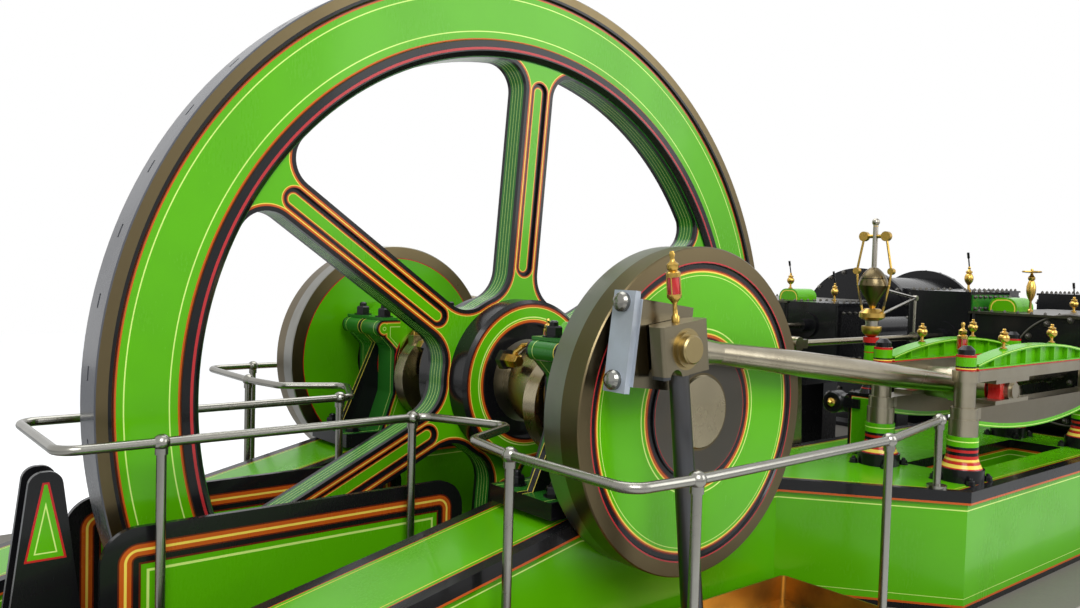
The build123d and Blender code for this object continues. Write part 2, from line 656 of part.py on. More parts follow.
def crank_pin(angle):
    """The stepped crank pin that both rods work on."""
    x, z = crank_pin_place(angle)
    seat = DISC_OUTER_FACE - DISC_FACE_DEPTH + PIN_CLEARANCE
    collar = seat + PIN_COLLAR_LENGTH
    journal_end = PUMP_ROD_PLANE + PUMP_BIG_END_WIDTH / 2
    rim = journal_end + PIN_RIM
    end = rim + PIN_END_LENGTH
    pin = turned([(0, seat), (PIN_COLLAR_RADIUS, seat), (PIN_COLLAR_RADIUS, collar),
                  (PIN_RADIUS, collar), (PIN_RADIUS, journal_end),
                  (PIN_END_RADIUS + PIN_RIM, journal_end), (PIN_END_RADIUS + PIN_RIM, rim),
                  (PIN_END_RADIUS, rim), (PIN_END_RADIUS, end - PIN_RIM / 2),
                  (PIN_END_RADIUS - PIN_RIM / 2, end), (0, end)])
    return Pos(x, 0, z) * pin


def rod_shank():
    """The turned shank of a main rod: a conical neck, then a slow swell to the middle."""
    start = BIG_END_LENGTH / 2 - BIG_END_CORNER
    neck = BIG_END_LENGTH / 2 + ROD_NECK_LENGTH
    end = ROD_LENGTH - SMALL_END_RADIUS + BIG_END_CORNER / 2
    outline = Polyline((start, 0, 0), (start, 0, ROD_NECK_RADIUS), (neck, 0, ROD_END_RADIUS))
    outline += ThreePointArc((neck, 0, ROD_END_RADIUS), ((neck + end) / 2, 0, ROD_MIDDLE_RADIUS),
                             (end, 0, ROD_END_RADIUS))
    outline += Polyline((end, 0, ROD_END_RADIUS), (end, 0, 0), (start, 0, 0))
    return revolve(make_face(outline), Axis.X)


def dome_nut(x, y, z, radius):
    """A round nut with a domed end, standing out towards -X from a face at x."""
    shares = [(0, 0), (0, 1), (0.5, 1), (0.8, 0.8), (0.95, 0.5), (1, 0.2), (1, 0)]
    return turned_along([(x - radius * out, radius * r) for out, r in shares], y, z)


def connecting_rod(angle):
    """The main rod, with its block big end, keep plate and nuts, and its round small end."""
    px, pz = crank_pin_place(angle)
    tilt = math.degrees(math.asin(pz / ROD_LENGTH))
    half, reach, rise = BIG_END_WIDTH / 2, BIG_END_LENGTH / 2, BIG_END_HEIGHT / 2
    block = box(-reach, reach, -half, half, -rise + BIG_END_CORNER, rise - BIG_END_CORNER)
    block = chamfer(block.edges().filter_by(Axis.Z).group_by(Axis.X)[-1], BIG_END_CORNER)
    keep = box(-reach - BIG_END_PLATE, -reach, -BIG_END_PLATE_WIDTH / 2, BIG_END_PLATE_WIDTH / 2,
               -rise, rise)
    eye = cross_pin(ROD_LENGTH, 0, SMALL_END_RADIUS, -SMALL_END_WIDTH / 2, SMALL_END_WIDTH / 2)
    rod = block + keep + rod_shank() + eye
    for side in (-1, 1):
        rod += dome_nut(-reach - BIG_END_PLATE, 0, side * BIG_END_NUT_SPACING / 2,
                        BIG_END_NUT_RADIUS)
    rod -= cross_pin(0, 0, PIN_RADIUS, -half, half)
    rod -= cross_pin(ROD_LENGTH, 0, CROSSHEAD_PIN_RADIUS, -half, half)
    return Pos(px, ROD_PLANE, pz) * Rot(0, tilt, 0) * rod


def on_pump_rod(shape, angle):
    """Move a shape from the pump rod's own upright frame, about its big end, into its place."""
    px, pz = crank_pin_place(angle)
    ex, ez = lever_end(angle)
    lean = math.degrees(math.atan2(ex - px, pz - ez))
    return Pos(px, PUMP_ROD_PLANE, pz) * Rot(0, -lean, 0) * shape


def pump_rod(angle):
    """The tapered rod from the crank pin down to the air pump's lever."""
    half, reach, rise = PUMP_BIG_END_WIDTH / 2, PUMP_BIG_END_LENGTH / 2, PUMP_BIG_END_HEIGHT / 2
    cut = PUMP_BIG_END_CHAMFER
    plan = [(reach, half), (-reach, half), (-reach, cut - half), (cut - reach, -half),
            (reach - cut, -half), (reach, cut - half)]
    head = plan_block(plan, -rise, rise)
    head = fillet([e for e in head.edges().filter_by(Axis.Z) if e.center().Y > half - 1],
                  PUMP_BIG_END_ROUND)
    head -= cross_pin(-PUMP_BIG_END_ARCH_OFFSET, -rise, PUMP_BIG_END_ARCH, -half, half)
    shank = turned_upright([(0, 0), (PUMP_ROD_TOP_RADIUS, 0),
                            (PUMP_ROD_FOOT_RADIUS, -PUMP_ROD_LENGTH), (0, -PUMP_ROD_LENGTH)])
    foot = cross_pin(0, -PUMP_ROD_LENGTH, PUMP_ROD_EYE_RADIUS, -half, half)
    rod = head + shank + foot
    rod -= cross_pin(0, 0, PIN_RADIUS, -half, half)
    return on_pump_rod(rod - cross_pin(0, -PUMP_ROD_LENGTH, LEVER_PIN_RADIUS, -half, half), angle)


def lever(angle):
    """The rocking lever under the floor, with its pins and its bracket on the pit wall."""
    ex, ez = lever_end(angle)
    rise = math.degrees(math.atan2(ez + LEVER_PIVOT_BELOW_SHAFT, ex - LEVER_PIVOT_X))
    y0 = PUMP_ROD_PLANE + PUMP_BIG_END_WIDTH / 2
    y1 = y0 + LEVER_THICKNESS
    boss, tip = LEVER_HEIGHT / 2, LEVER_TIP_RADIUS
    arm = side_plate([(0, -boss), (LEVER_ARM, -tip), (LEVER_ARM, tip), (0, boss)], y0, y1)
    arm += cross_pin(0, 0, boss, y0, y1) + cross_pin(LEVER_ARM, 0, tip, y0, y1)
    arm += cross_pin(LEVER_ARM, 0, LEVER_PIN_RADIUS, y0 - PUMP_BIG_END_WIDTH, y1)
    arm = Pos(LEVER_PIVOT_X, 0, -LEVER_PIVOT_BELOW_SHAFT) * Rot(0, -rise, 0) * arm
    z = -LEVER_PIVOT_BELOW_SHAFT
    wall, tall, inner = LEVER_PIVOT_X + boss, LEVER_BRACKET_HALF, y0 - LEVER_GAP - LEVER_THICKNESS
    bracket = side_plate([(LEVER_PIVOT_X - boss, z - boss), (CRANK_PIT_END, z - tall),
                          (CRANK_PIT_END, z + tall), (wall, z + tall), (LEVER_PIVOT_X - boss, z + boss)],
                         inner, y0 - LEVER_GAP)
    return arm + bracket + cross_pin(LEVER_PIVOT_X, z, LEVER_PIN_RADIUS, inner, y1)


def air_pump(angle):
    """The air pump that the lever works, standing in the crank pit."""
    ex, ez = lever_end(angle)
    share = PUMP_ARM / LEVER_ARM
    x = LEVER_PIVOT_X + (ex - LEVER_PIVOT_X) * share
    z = -LEVER_PIVOT_BELOW_SHAFT + (ez + LEVER_PIVOT_BELOW_SHAFT) * share
    top = GROUND + PUMP_BARREL_HEIGHT
    flange, barrel = PUMP_BARREL_RADIUS, PUMP_BARREL_RADIUS - PUMP_FLANGE
    body = turned_upright([(0, GROUND), (flange, GROUND), (flange, GROUND + PUMP_FLANGE),
                           (barrel, GROUND + PUMP_FLANGE), (barrel, top - PUMP_FLANGE),
                           (flange, top - PUMP_FLANGE), (flange, top), (PUMP_GLAND_RADIUS, top),
                           (PUMP_GLAND_RADIUS, top + PUMP_GLAND_RADIUS),
                           (PUMP_PLUNGER_RADIUS, top + PUMP_GLAND_RADIUS), (PUMP_PLUNGER_RADIUS, z),
                           (0, z)], x, PUMP_ROD_PLANE)
    half = PUMP_BIG_END_WIDTH / 2
    return body + cross_pin(x, z, PUMP_GLAND_RADIUS, PUMP_ROD_PLANE - half / 2, PUMP_ROD_PLANE + half)


def eccentric():
    """The eccentric strap and sheave beside the bearing, with its rod to the valve rocker."""
    inner, outer = STRAP_PLANE - STRAP_WIDTH / 2, STRAP_PLANE + STRAP_WIDTH / 2
    groove, land = STRAP_GROOVE, STRAP_RADIUS - STRAP_BAND
    ring = turned([(0, inner + groove), (land, inner + groove), (land, inner), (STRAP_RADIUS, inner),
                   (STRAP_RADIUS, outer), (land, outer), (land, outer - groove), (0, outer - groove)])
    lug = box(STRAP_LUG_X - STRAP_LUG_WIDTH / 2, STRAP_LUG_X + STRAP_LUG_WIDTH / 2,
              STRAP_PLANE - STRAP_LUG_WIDTH / 2, STRAP_PLANE + STRAP_LUG_WIDTH / 2,
              SHEAVE_THROW_Z, STRAP_LUG_TOP)
    rise, run = VALVE_ROD_HEIGHT - SHEAVE_THROW_Z, VALVE_ROCKER_X - SHEAVE_THROW_X
    reach = math.hypot(run, rise)
    start = STRAP_RADIUS * 0.9
    palm = STRAP_RADIUS + STRAP_WIDTH
    rod = turned_along([(start, 0), (start, STRAP_PALM_RADIUS), (palm, STRAP_PALM_RADIUS),
                        (palm + STRAP_WIDTH, ECCENTRIC_ROD_RADIUS), (reach, ECCENTRIC_ROD_RADIUS),
                        (reach, 0)])
    tilt = math.degrees(math.atan2(rise, run))
    rod = Pos(SHEAVE_THROW_X, STRAP_PLANE, SHEAVE_THROW_Z) * Rot(0, -tilt, 0) * rod
    gap = KNUCKLE_SLOT / 2 - KNUCKLE_CLEARANCE
    around = cross_pin(VALVE_ROCKER_X, VALVE_ROD_HEIGHT, VALVE_KNUCKLE_RADIUS + ECCENTRIC_ROD_RADIUS,
                       inner, outer)
    eye = cross_pin(VALVE_ROCKER_X, VALVE_ROD_HEIGHT, VALVE_KNUCKLE_RADIUS,
                    STRAP_PLANE - gap, STRAP_PLANE + gap)
    rod = (rod - around) + (rod & box(SHAFT_RADIUS, VALVE_ROCKER_X, STRAP_PLANE - gap,
                                      STRAP_PLANE + gap, GROUND, WHEEL_RADIUS)) + eye
    rod -= cross_pin(VALVE_ROCKER_X, VALVE_ROD_HEIGHT, KNUCKLE_PIN_RADIUS + EYE_CLEARANCE, inner, outer)
    body = Pos(SHEAVE_THROW_X, 0, SHEAVE_THROW_Z) * ring + lug + rod
    return body - cross_pin(0, 0, SHAFT_RADIUS + SHEAVE_SEAT_GAP, inner, outer)


def valve_rod():
    """The valve rod with its forked knuckle and the rocking arm that hangs it on the bed."""
    x, z, half = VALVE_ROCKER_X, VALVE_ROD_HEIGHT, KNUCKLE_WIDTH / 2
    inner, outer = STRAP_PLANE - half, STRAP_PLANE + half
    pivot = -ROCKER_PIVOT_BELOW_SHAFT
    fork = cross_pin(x, z, VALVE_KNUCKLE_RADIUS, inner, outer)
    fork += box(x, x + KNUCKLE_LENGTH, inner, outer, z - KNUCKLE_ROOT, z + KNUCKLE_ROOT)
    fork -= box(x - KNUCKLE_LENGTH, x + KNUCKLE_LENGTH - KNUCKLE_ROOT, STRAP_PLANE - KNUCKLE_SLOT / 2,
                STRAP_PLANE + KNUCKLE_SLOT / 2, z - KNUCKLE_LENGTH, z + KNUCKLE_LENGTH)
    pin = cross_pin(x, z, KNUCKLE_PIN_RADIUS, inner - KNUCKLE_PIN_RADIUS, outer)
    end = CHEST_START + GLAND_FLANGE
    rod = turned_along([(x + KNUCKLE_LENGTH - KNUCKLE_ROOT, 0),
                        (x + KNUCKLE_LENGTH - KNUCKLE_ROOT, VALVE_ROD_RADIUS),
                        (end, VALVE_ROD_RADIUS), (end, 0)], STRAP_PLANE, z)
    cheek = STRAP_PLANE + KNUCKLE_SLOT / 2
    arm = side_plate([(x - KNUCKLE_PIN_RADIUS, z), (x - ROCKER_BOSS_RADIUS, pivot),
                      (x + ROCKER_BOSS_RADIUS, pivot), (x + KNUCKLE_PIN_RADIUS, z)], cheek, outer)
    boss = cross_pin(x, pivot, ROCKER_BOSS_RADIUS, cheek, BED_INNER)
    return fork + pin + rod + arm + boss


def guide_post(x, y):
    """One turned post: bolted foot, concave flare, band, stud, spacer between the bars and nut."""
    foot = BED_TOP + POST_FOOT_HEIGHT
    flare, band = foot + POST_FLARE_HEIGHT, -BAR_TOP - BAR_LOW_BOSS_HEIGHT
    nut = POST_TOP + POST_NUT_HEIGHT
    gap = SLIPPER_GAP / 2 - SLIPPER_CLEARANCE
    base = turned_upright([(0, BED_TOP), (POST_FOOT_RADIUS, BED_TOP), (POST_FOOT_RADIUS, foot),
                           (0, foot)])
    cone = Polyline((0, 0, flare), (0, 0, foot), (POST_FLARE_RADIUS, 0, foot)) + ThreePointArc(
        (POST_FLARE_RADIUS, 0, foot),
        ((POST_FLARE_RADIUS + POST_BAND_RADIUS) / 2 - POST_FLARE_SAG, 0, (foot + flare) / 2),
        (POST_BAND_RADIUS, 0, flare)) + Line((POST_BAND_RADIUS, 0, flare), (0, 0, flare))
    stud = turned_upright([(0, flare), (POST_BAND_RADIUS, flare), (POST_BAND_RADIUS, band),
                           (POST_STUD_RADIUS, band), (POST_STUD_RADIUS, -gap),
                           (POST_COLUMN_RADIUS, -gap), (POST_COLUMN_RADIUS, gap),
                           (POST_STUD_RADIUS, gap), (POST_STUD_RADIUS, POST_TOP),
                           (POST_NUT_RADIUS, POST_TOP), (POST_NUT_RADIUS, nut - POST_NUT_RADIUS / 2),
                           (POST_NUT_RADIUS / 2, nut), (0, nut)])
    return Pos(x, y, 0) * (base + revolve(make_face(cone), Axis.Z) + stud)


def guide_posts():
    """The four posts that carry the slide bars of one line."""
    return Compound([guide_post(x, ROD_PLANE + side * POST_SPACING / 2)
                     for x in (POST_X, POST_FAR_X) for side in (-1, 1)])


def bow_radius(bow):
    """The radius of a slide bar's arch that rises by bow between the posts."""
    chord = POST_FAR_X - POST_X - 2 * BAR_ARCH_START
    return (chord ** 2 / 4 + bow ** 2) / (2 * bow)


def arch_height(x, bow):
    """The height of a slide bar's arch at x, as measured for an upper bar."""
    radius = bow_radius(bow)
    across = x - (POST_X + POST_FAR_X) / 2
    return BAR_TOP + BAR_END_RISE + bow - radius + math.sqrt(radius ** 2 - across ** 2)


def slide_bar(y, bow, boss_radius, boss_height):
    """One bowed slide bar: a steel flat under a ribbed casting, with a bored boss at each end."""
    z0, low, peak = SLIPPER_GAP / 2, BAR_TOP + BAR_END_RISE, BAR_TOP + BAR_END_RISE + bow
    start, end = POST_X + BAR_ARCH_START, POST_FAR_X - BAR_ARCH_START
    middle, radius, half = (POST_X + POST_FAR_X) / 2, bow_radius(bow), BAR_CASTING_WIDTH / 2
    arch = ThreePointArc((start, y, low), (middle, y, peak), (end, y, low))
    web = arch + Polyline((end, y, low), (end, y, BAR_TOP), (start, y, BAR_TOP), (start, y, low))
    bar = box(POST_X, POST_FAR_X, y - BAR_WIDTH / 2, y + BAR_WIDTH / 2, z0, BAR_TOP)
    bar += Pos(0, -BAR_WEB / 2, 0) * extrude(make_face(web), amount=BAR_WEB, dir=(0, 1, 0))
    hoop = cross_pin(middle, peak - radius, radius, y - half, y + half)
    hoop -= cross_pin(middle, peak - radius, radius - BAR_FLANGE, y - half, y + half)
    bar += hoop & box(start, end, y - half, y + half, low - BAR_FLANGE, peak)
    bar += box(start, end, y - half, y + half, BAR_TOP, BAR_TOP + BAR_FLANGE)
    for n in range(BAR_RIB_COUNT):
        x = start + (end - start) * (n + 1) / (BAR_RIB_COUNT + 1)
        bar += box(x - BAR_RIB / 2, x + BAR_RIB / 2, y - half + BAR_RIB / 2, y + half - BAR_RIB / 2,
                   BAR_TOP, arch_height(x, bow) - BAR_FLANGE / 2)
    for x in (POST_X, POST_FAR_X):
        bar += upright(x, y, BAR_EYE_RADIUS, z0, BAR_TOP)
        bar += upright(x, y, boss_radius, BAR_TOP, BAR_TOP + boss_height)
        bar -= upright(x, y, POST_STUD_RADIUS + EYE_CLEARANCE, z0, BAR_TOP + boss_height)
    return bar


def slide_bars():
    """Upper and lower slide bars on both sides of one line, with a pad for each oil cup."""
    bars = []
    for y in (ROD_PLANE - POST_SPACING / 2, ROD_PLANE + POST_SPACING / 2):
        upper = slide_bar(y, BAR_BOW_UP, BAR_BOSS_RADIUS, BAR_BOSS_HEIGHT)
        for x in BAR_CUP_PLACES:
            upper += upright(x, y, BAR_CUP_RADIUS, BAR_TOP, cup_pad_top(x))
        lower = slide_bar(y, BAR_BOW_DOWN, BAR_LOW_BOSS_RADIUS, BAR_LOW_BOSS_HEIGHT)
        bars += [upper, mirror(lower, about=Plane.XY)]
    return Compound(bars)


def slipper(x, y):
    """One crosshead slipper: two shoes on a waisted web, with a round boss about the pin."""
    half, reach = SLIPPER_GAP / 2 - SLIPPER_CLEARANCE, SLIPPER_LENGTH / 2
    web, side = SLIPPER_WEB / 2, BAR_WIDTH / 2
    body = box(x - reach, x + reach, y - side, y + side, -half, half)
    inner = half - SLIPPER_SHOE
    for end in (-1, 1):
        body -= cross_pin(x + end * (reach + inner), 0, reach / 2 + inner, y - side, y + side) & box(
            x - 2 * reach, x + 2 * reach, y - side, y + side, -inner, inner)
    for face in (-1, 1):
        edge = y + face * (web + side) / 2
        body -= box(x - reach, x + reach, edge - (side - web) / 2, edge + (side - web) / 2,
                    -inner, inner)
    return body + cross_pin(x, 0, SLIPPER_BOSS_RADIUS, y - side, y + side)


def crosshead(angle):
    """The crosshead: forked boss, cross beam, pin and two slippers between the bars."""
    x = crosshead_x(angle)
    beam = POST_SPACING / 2 - BAR_WIDTH / 2
    end, fork = x + CROSSHEAD_LENGTH / 2, x + SMALL_END_RADIUS + CROSSHEAD_SLACK
    body = cross_pin(x, 0, CROSSHEAD_BEAM_RADIUS, ROD_PLANE - beam, ROD_PLANE + beam)
    cheeks = box(x, end - CROSSHEAD_SLACK, ROD_PLANE - CROSSHEAD_CHEEK, ROD_PLANE + CROSSHEAD_CHEEK,
                 -CROSSHEAD_BOSS_RADIUS, CROSSHEAD_BOSS_RADIUS)
    body += fillet(cheeks.edges().filter_by(Axis.X), CROSSHEAD_ROUND)
    body += turned_along([(x, 0), (x, CROSSHEAD_BOSS_RADIUS), (end, CROSSHEAD_BOSS_RADIUS),
                          (end, 0)], ROD_PLANE)
    gap = SMALL_END_WIDTH / 2 + 1
    body -= box(x - CROSSHEAD_LENGTH, fork, ROD_PLANE - gap, ROD_PLANE + gap,
                -CROSSHEAD_LENGTH, CROSSHEAD_LENGTH)
    for side in (-1, 1):
        body += slipper(x, ROD_PLANE + side * POST_SPACING / 2)
    reach = POST_SPACING / 2 + BAR_WIDTH / 2 + CROSSHEAD_PIN_PROUD
    return body + cross_pin(x, 0, CROSSHEAD_PIN_RADIUS, ROD_PLANE - reach, ROD_PLANE + reach)


def piston_rod(angle):
    """The piston rod from the crosshead through both cylinders."""
    start = crosshead_x(angle) + CROSSHEAD_LENGTH / 2
    end = LOW_START + CYLINDER_FLANGE
    return turned_along([(start, 0), (start, PISTON_ROD_RADIUS), (end, PISTON_ROD_RADIUS),
                         (end, 0)], ROD_PLANE)


def barrel_radius(bore):
    """The outer radius of a lagged barrel."""
    return bore / 2 + CYLINDER_WALL + LAGGING


def cylinder_barrel(start, length, bore, cover):
    """One lagged barrel with stepped covers and a stuffing box at each end."""
    barrel = barrel_radius(bore)
    step = cover - CYLINDER_FLANGE
    gland = STUFFING_RADIUS - COVER_STEP
    half = [(barrel, 0), (barrel, length / 2 - CYLINDER_FLANGE - COVER_STEP),
            (cover, length / 2 - CYLINDER_FLANGE - COVER_STEP), (cover, length / 2 - COVER_STEP),
            (step, length / 2 - COVER_STEP), (step, length / 2), (gland, length / 2),
            (gland, length / 2 + STUFFING_LENGTH - COVER_STEP),
            (STUFFING_RADIUS, length / 2 + STUFFING_LENGTH - COVER_STEP),
            (STUFFING_RADIUS, length / 2 + STUFFING_LENGTH), (0, length / 2 + STUFFING_LENGTH)]
    middle = start + length / 2
    points = [(middle - across, r) for r, across in reversed(half)] + [
        (middle + across, r) for r, across in half[1:]]
    return turned_along(points, ROD_PLANE)


def cylinder_foot(x, half_width, top):
    """A cast foot under a cylinder, broad on the floor and narrow at the top."""
    step = FLOOR + FOOT_PLATE
    half = [(CYLINDER_FOOT / 2 + FOOT_PLATE, FLOOR), (CYLINDER_FOOT / 2 + FOOT_PLATE, step),
            (CYLINDER_FOOT / 2, step + FOOT_PLATE), (CYLINDER_FOOT / 2, top)]
    outline = [(x + across, z) for across, z in half]
    outline += [(x - across, z) for across, z in reversed(half)]
    return side_plate(outline, ROD_PLANE - half_width, ROD_PLANE + half_width)


def rod_bore(start, end):
    """What is bored out for the piston rod between two places."""
    radius = PISTON_ROD_RADIUS + EYE_CLEARANCE
    return turned_along([(start, 0), (start, radius), (end, radius), (end, 0)], ROD_PLANE)


def high_cylinder():
    """The high pressure cylinder in its flat-topped casing, with the rounded hood on top."""
    end = HIGH_START + HIGH_LENGTH
    front, back = HIGH_START + COVER_STEP, end - COVER_STEP
    casing = box(front, back, CASING_INNER, CASING_OUTER, CASING_BOTTOM, CASING_TOP - TOP_PLATE)
    casing = fillet(casing.edges().filter_by(Axis.Z), CASING_ROUND)
    plate = box(front - TOP_PLATE_LIP, back + TOP_PLATE_LIP, CASING_INNER, CASING_OUTER + TOP_PLATE_LIP,
                CASING_TOP - TOP_PLATE, CASING_TOP)
    hood = box(HOOD_START, HOOD_START + HOOD_LENGTH, HOOD_INNER, HOOD_INNER + HOOD_WIDTH,
               CASING_TOP, CASING_TOP + HOOD_HEIGHT)
    hood = fillet(hood.edges().filter_by(Axis.X).group_by(Axis.Z)[-1], HOOD_ROUND)
    body = cylinder_barrel(HIGH_START, HIGH_LENGTH, HIGH_BORE, HIGH_COVER_RADIUS) + casing
    body += plate + hood
    for share in FOOT_SHARES:
        body += cylinder_foot(HIGH_START + HIGH_LENGTH * share, HIGH_FOOT_HALF_WIDTH, CASING_BOTTOM)
    return body - rod_bore(HIGH_START - STUFFING_LENGTH, end + STUFFING_LENGTH)


def low_cylinder():
    """The low pressure cylinder on its two feet, with both covers standing clear."""
    body = cylinder_barrel(LOW_START, LOW_LENGTH, LOW_BORE, LOW_COVER_RADIUS)
    barrel = barrel_radius(LOW_BORE)
    for share in FOOT_SHARES:
        body += cylinder_foot(LOW_START + LOW_LENGTH * share, barrel * 0.72, -barrel / 2)
    return body - rod_bore(LOW_START - STUFFING_LENGTH, LOW_START + CYLINDER_FLANGE)


def chest_body(x0, x1, inner, outer, top):
    """A steam chest with a flat lid and a bolted panel on its open side."""
    lid = top - CHEST_COVER
    body = box(x0, x1, inner + CHEST_COVER, outer, CHEST_BOTTOM, lid)
    corners = [e for e in body.edges().filter_by(Axis.Z) if e.center().Y < inner + 2 * CHEST_COVER]
    body = fillet(corners, CHEST_COVER)
    body += box(x0, x1, inner + CHEST_COVER / 2, outer, lid, top)
    return body + box(x0 + CHEST_COVER_MARGIN, x1 - CHEST_COVER_MARGIN, inner, inner + 2 * CHEST_COVER,
                      CHEST_BOTTOM + CHEST_COVER_MARGIN, lid - CHEST_COVER_MARGIN)


def high_chest(top):
    """The high pressure steam chest beside the casing, with the valve rod's gland."""
    chest = chest_body(CHEST_START, CHEST_START + CHEST_LENGTH, CHEST_INNER, CASING_INNER, top)
    flange, neck = CHEST_START - GLAND_FLANGE, CHEST_START - GLAND_LENGTH
    chest += turned_along([(CHEST_START, 0), (CHEST_START, GLAND_RADIUS), (flange, GLAND_RADIUS),
                           (flange, GLAND_NECK_RADIUS), (neck, GLAND_NECK_RADIUS), (neck, 0)],
                          STRAP_PLANE, VALVE_ROD_HEIGHT)
    bore, depth = VALVE_ROD_RADIUS + EYE_CLEARANCE, CHEST_START + GLAND_FLANGE
    return chest - turned_along([(neck, 0), (neck, bore), (depth, bore), (depth, 0)],
                                STRAP_PLANE, VALVE_ROD_HEIGHT)


def low_chest():
    """The low pressure steam chest against its barrel, with the receiver pipe from the high chest."""
    start = LOW_START + LOW_CHEST_OFFSET
    chest = chest_body(start, start + LOW_CHEST_LENGTH, LOW_CHEST_INNER, ROD_PLANE, LOW_CHEST_TOP)
    barrel = barrel_radius(LOW_BORE) + SLIPPER_CLEARANCE
    chest -= turned_along([(start, 0), (start, barrel), (start + LOW_CHEST_LENGTH, barrel),
                           (start + LOW_CHEST_LENGTH, 0)], ROD_PLANE)
    first = CHEST_START + CHEST_LENGTH
    wide, pipe, lip = RECEIVER_FLANGE_RADIUS, RECEIVER_PIPE_RADIUS, RECEIVER_FLANGE
    return chest + turned_along([(first, 0), (first, wide), (first + lip, wide), (first + lip, pipe),
                                 (start - lip, pipe), (start - lip, wide), (start, wide), (start, 0)],
                                STRAP_PLANE, RECEIVER_HEIGHT)


def governor_column():
    """The stand, banded column and bowl that carry the governor, with its drive box."""
    half, r, top = GOVERNOR_STAND_HALF, GOVERNOR_COLUMN_RADIUS, GOVERNOR_COLUMN_TOP
    stand = box(-half, half, -half, half, BED_TOP, GOVERNOR_STAND_TOP)
    stand = fillet(stand.edges().filter_by(Axis.Z), GOVERNOR_ROUND)
    drive = cross_pin(GOVERNOR_DRIVE_OFFSET, GOVERNOR_DRIVE_Z, GOVERNOR_DRIVE_RADIUS,
                      half - GOVERNOR_ROUND, half + GOVERNOR_DRIVE_LENGTH)
    drive += cross_pin(GOVERNOR_DRIVE_OFFSET, GOVERNOR_DRIVE_Z, GOVERNOR_DRIVE_RADIUS / 2,
                       half, half + GOVERNOR_DRIVE_LENGTH + GOVERNOR_ROUND)
    drive += box(GOVERNOR_DRIVE_OFFSET, 0, 0, half, GOVERNOR_DRIVE_Z - GOVERNOR_DRIVE_RADIUS / 2,
                 GOVERNOR_DRIVE_Z + GOVERNOR_DRIVE_RADIUS / 2)
    bracket = side_plate([(0, BED_TOP), (2 * half, BED_TOP), (half + GOVERNOR_ROUND, GOVERNOR_STAND_TOP),
                          (0, GOVERNOR_STAND_TOP)], half - GOVERNOR_ROUND, half + GOVERNOR_ROUND)
    neck, band = GOVERNOR_STAND_TOP + GOVERNOR_NECK, top - GOVERNOR_BEAD * 4
    column = turned_upright([(0, GOVERNOR_STAND_TOP), (r + GOVERNOR_NECK / 2, GOVERNOR_STAND_TOP),
                             (r, neck), (r, band), (r + GOVERNOR_BEAD, band), (r + GOVERNOR_BEAD, top),
                             (0, top)])
    bowl_top = top + GOVERNOR_BOWL_HEIGHT
    wide = GOVERNOR_BOWL_RADIUS
    bowl = Polyline((0, 0, bowl_top), (0, 0, top), (r / 2, 0, top)) + ThreePointArc(
        (r / 2, 0, top), (wide * 0.86, 0, top + GOVERNOR_BOWL_HEIGHT * 0.38),
        (wide, 0, bowl_top)) + Line((wide, 0, bowl_top), (0, 0, bowl_top))
    body = stand + drive + bracket + column + revolve(make_face(bowl), Axis.Z)
    spindle = GOVERNOR_SPINDLE_RADIUS + SHAFT_CLEARANCE
    return Pos(GOVERNOR_X, -GOVERNOR_PLANE, 0) * (body - upright(0, 0, spindle, GOVERNOR_STAND_TOP, bowl_top))


def governor_weight():
    """The pear-shaped centre weight of the governor, with its round shoulder and dome."""
    neck, wide, r = GOVERNOR_VASE_TOP, GOVERNOR_WEIGHT_RADIUS, GOVERNOR_SPINDLE_RADIUS
    middle, top = GOVERNOR_WEIGHT_MIDDLE, GOVERNOR_WEIGHT_TOP
    outline = Polyline((0, 0, top), (0, 0, neck), (r, 0, neck))
    outline += Spline((r, 0, neck), (wide * 0.42, 0, neck + (middle - neck) * 0.35),
                      (wide * 0.82, 0, neck + (middle - neck) * 0.76), (wide, 0, middle))
    outline += ThreePointArc((wide, 0, middle), (wide * 0.76, 0, (middle + top) / 2 + GOVERNOR_BEAD),
                             (wide / 4, 0, top)) + Line((wide / 4, 0, top), (0, 0, top))
    return revolve(make_face(outline), Axis.Z)


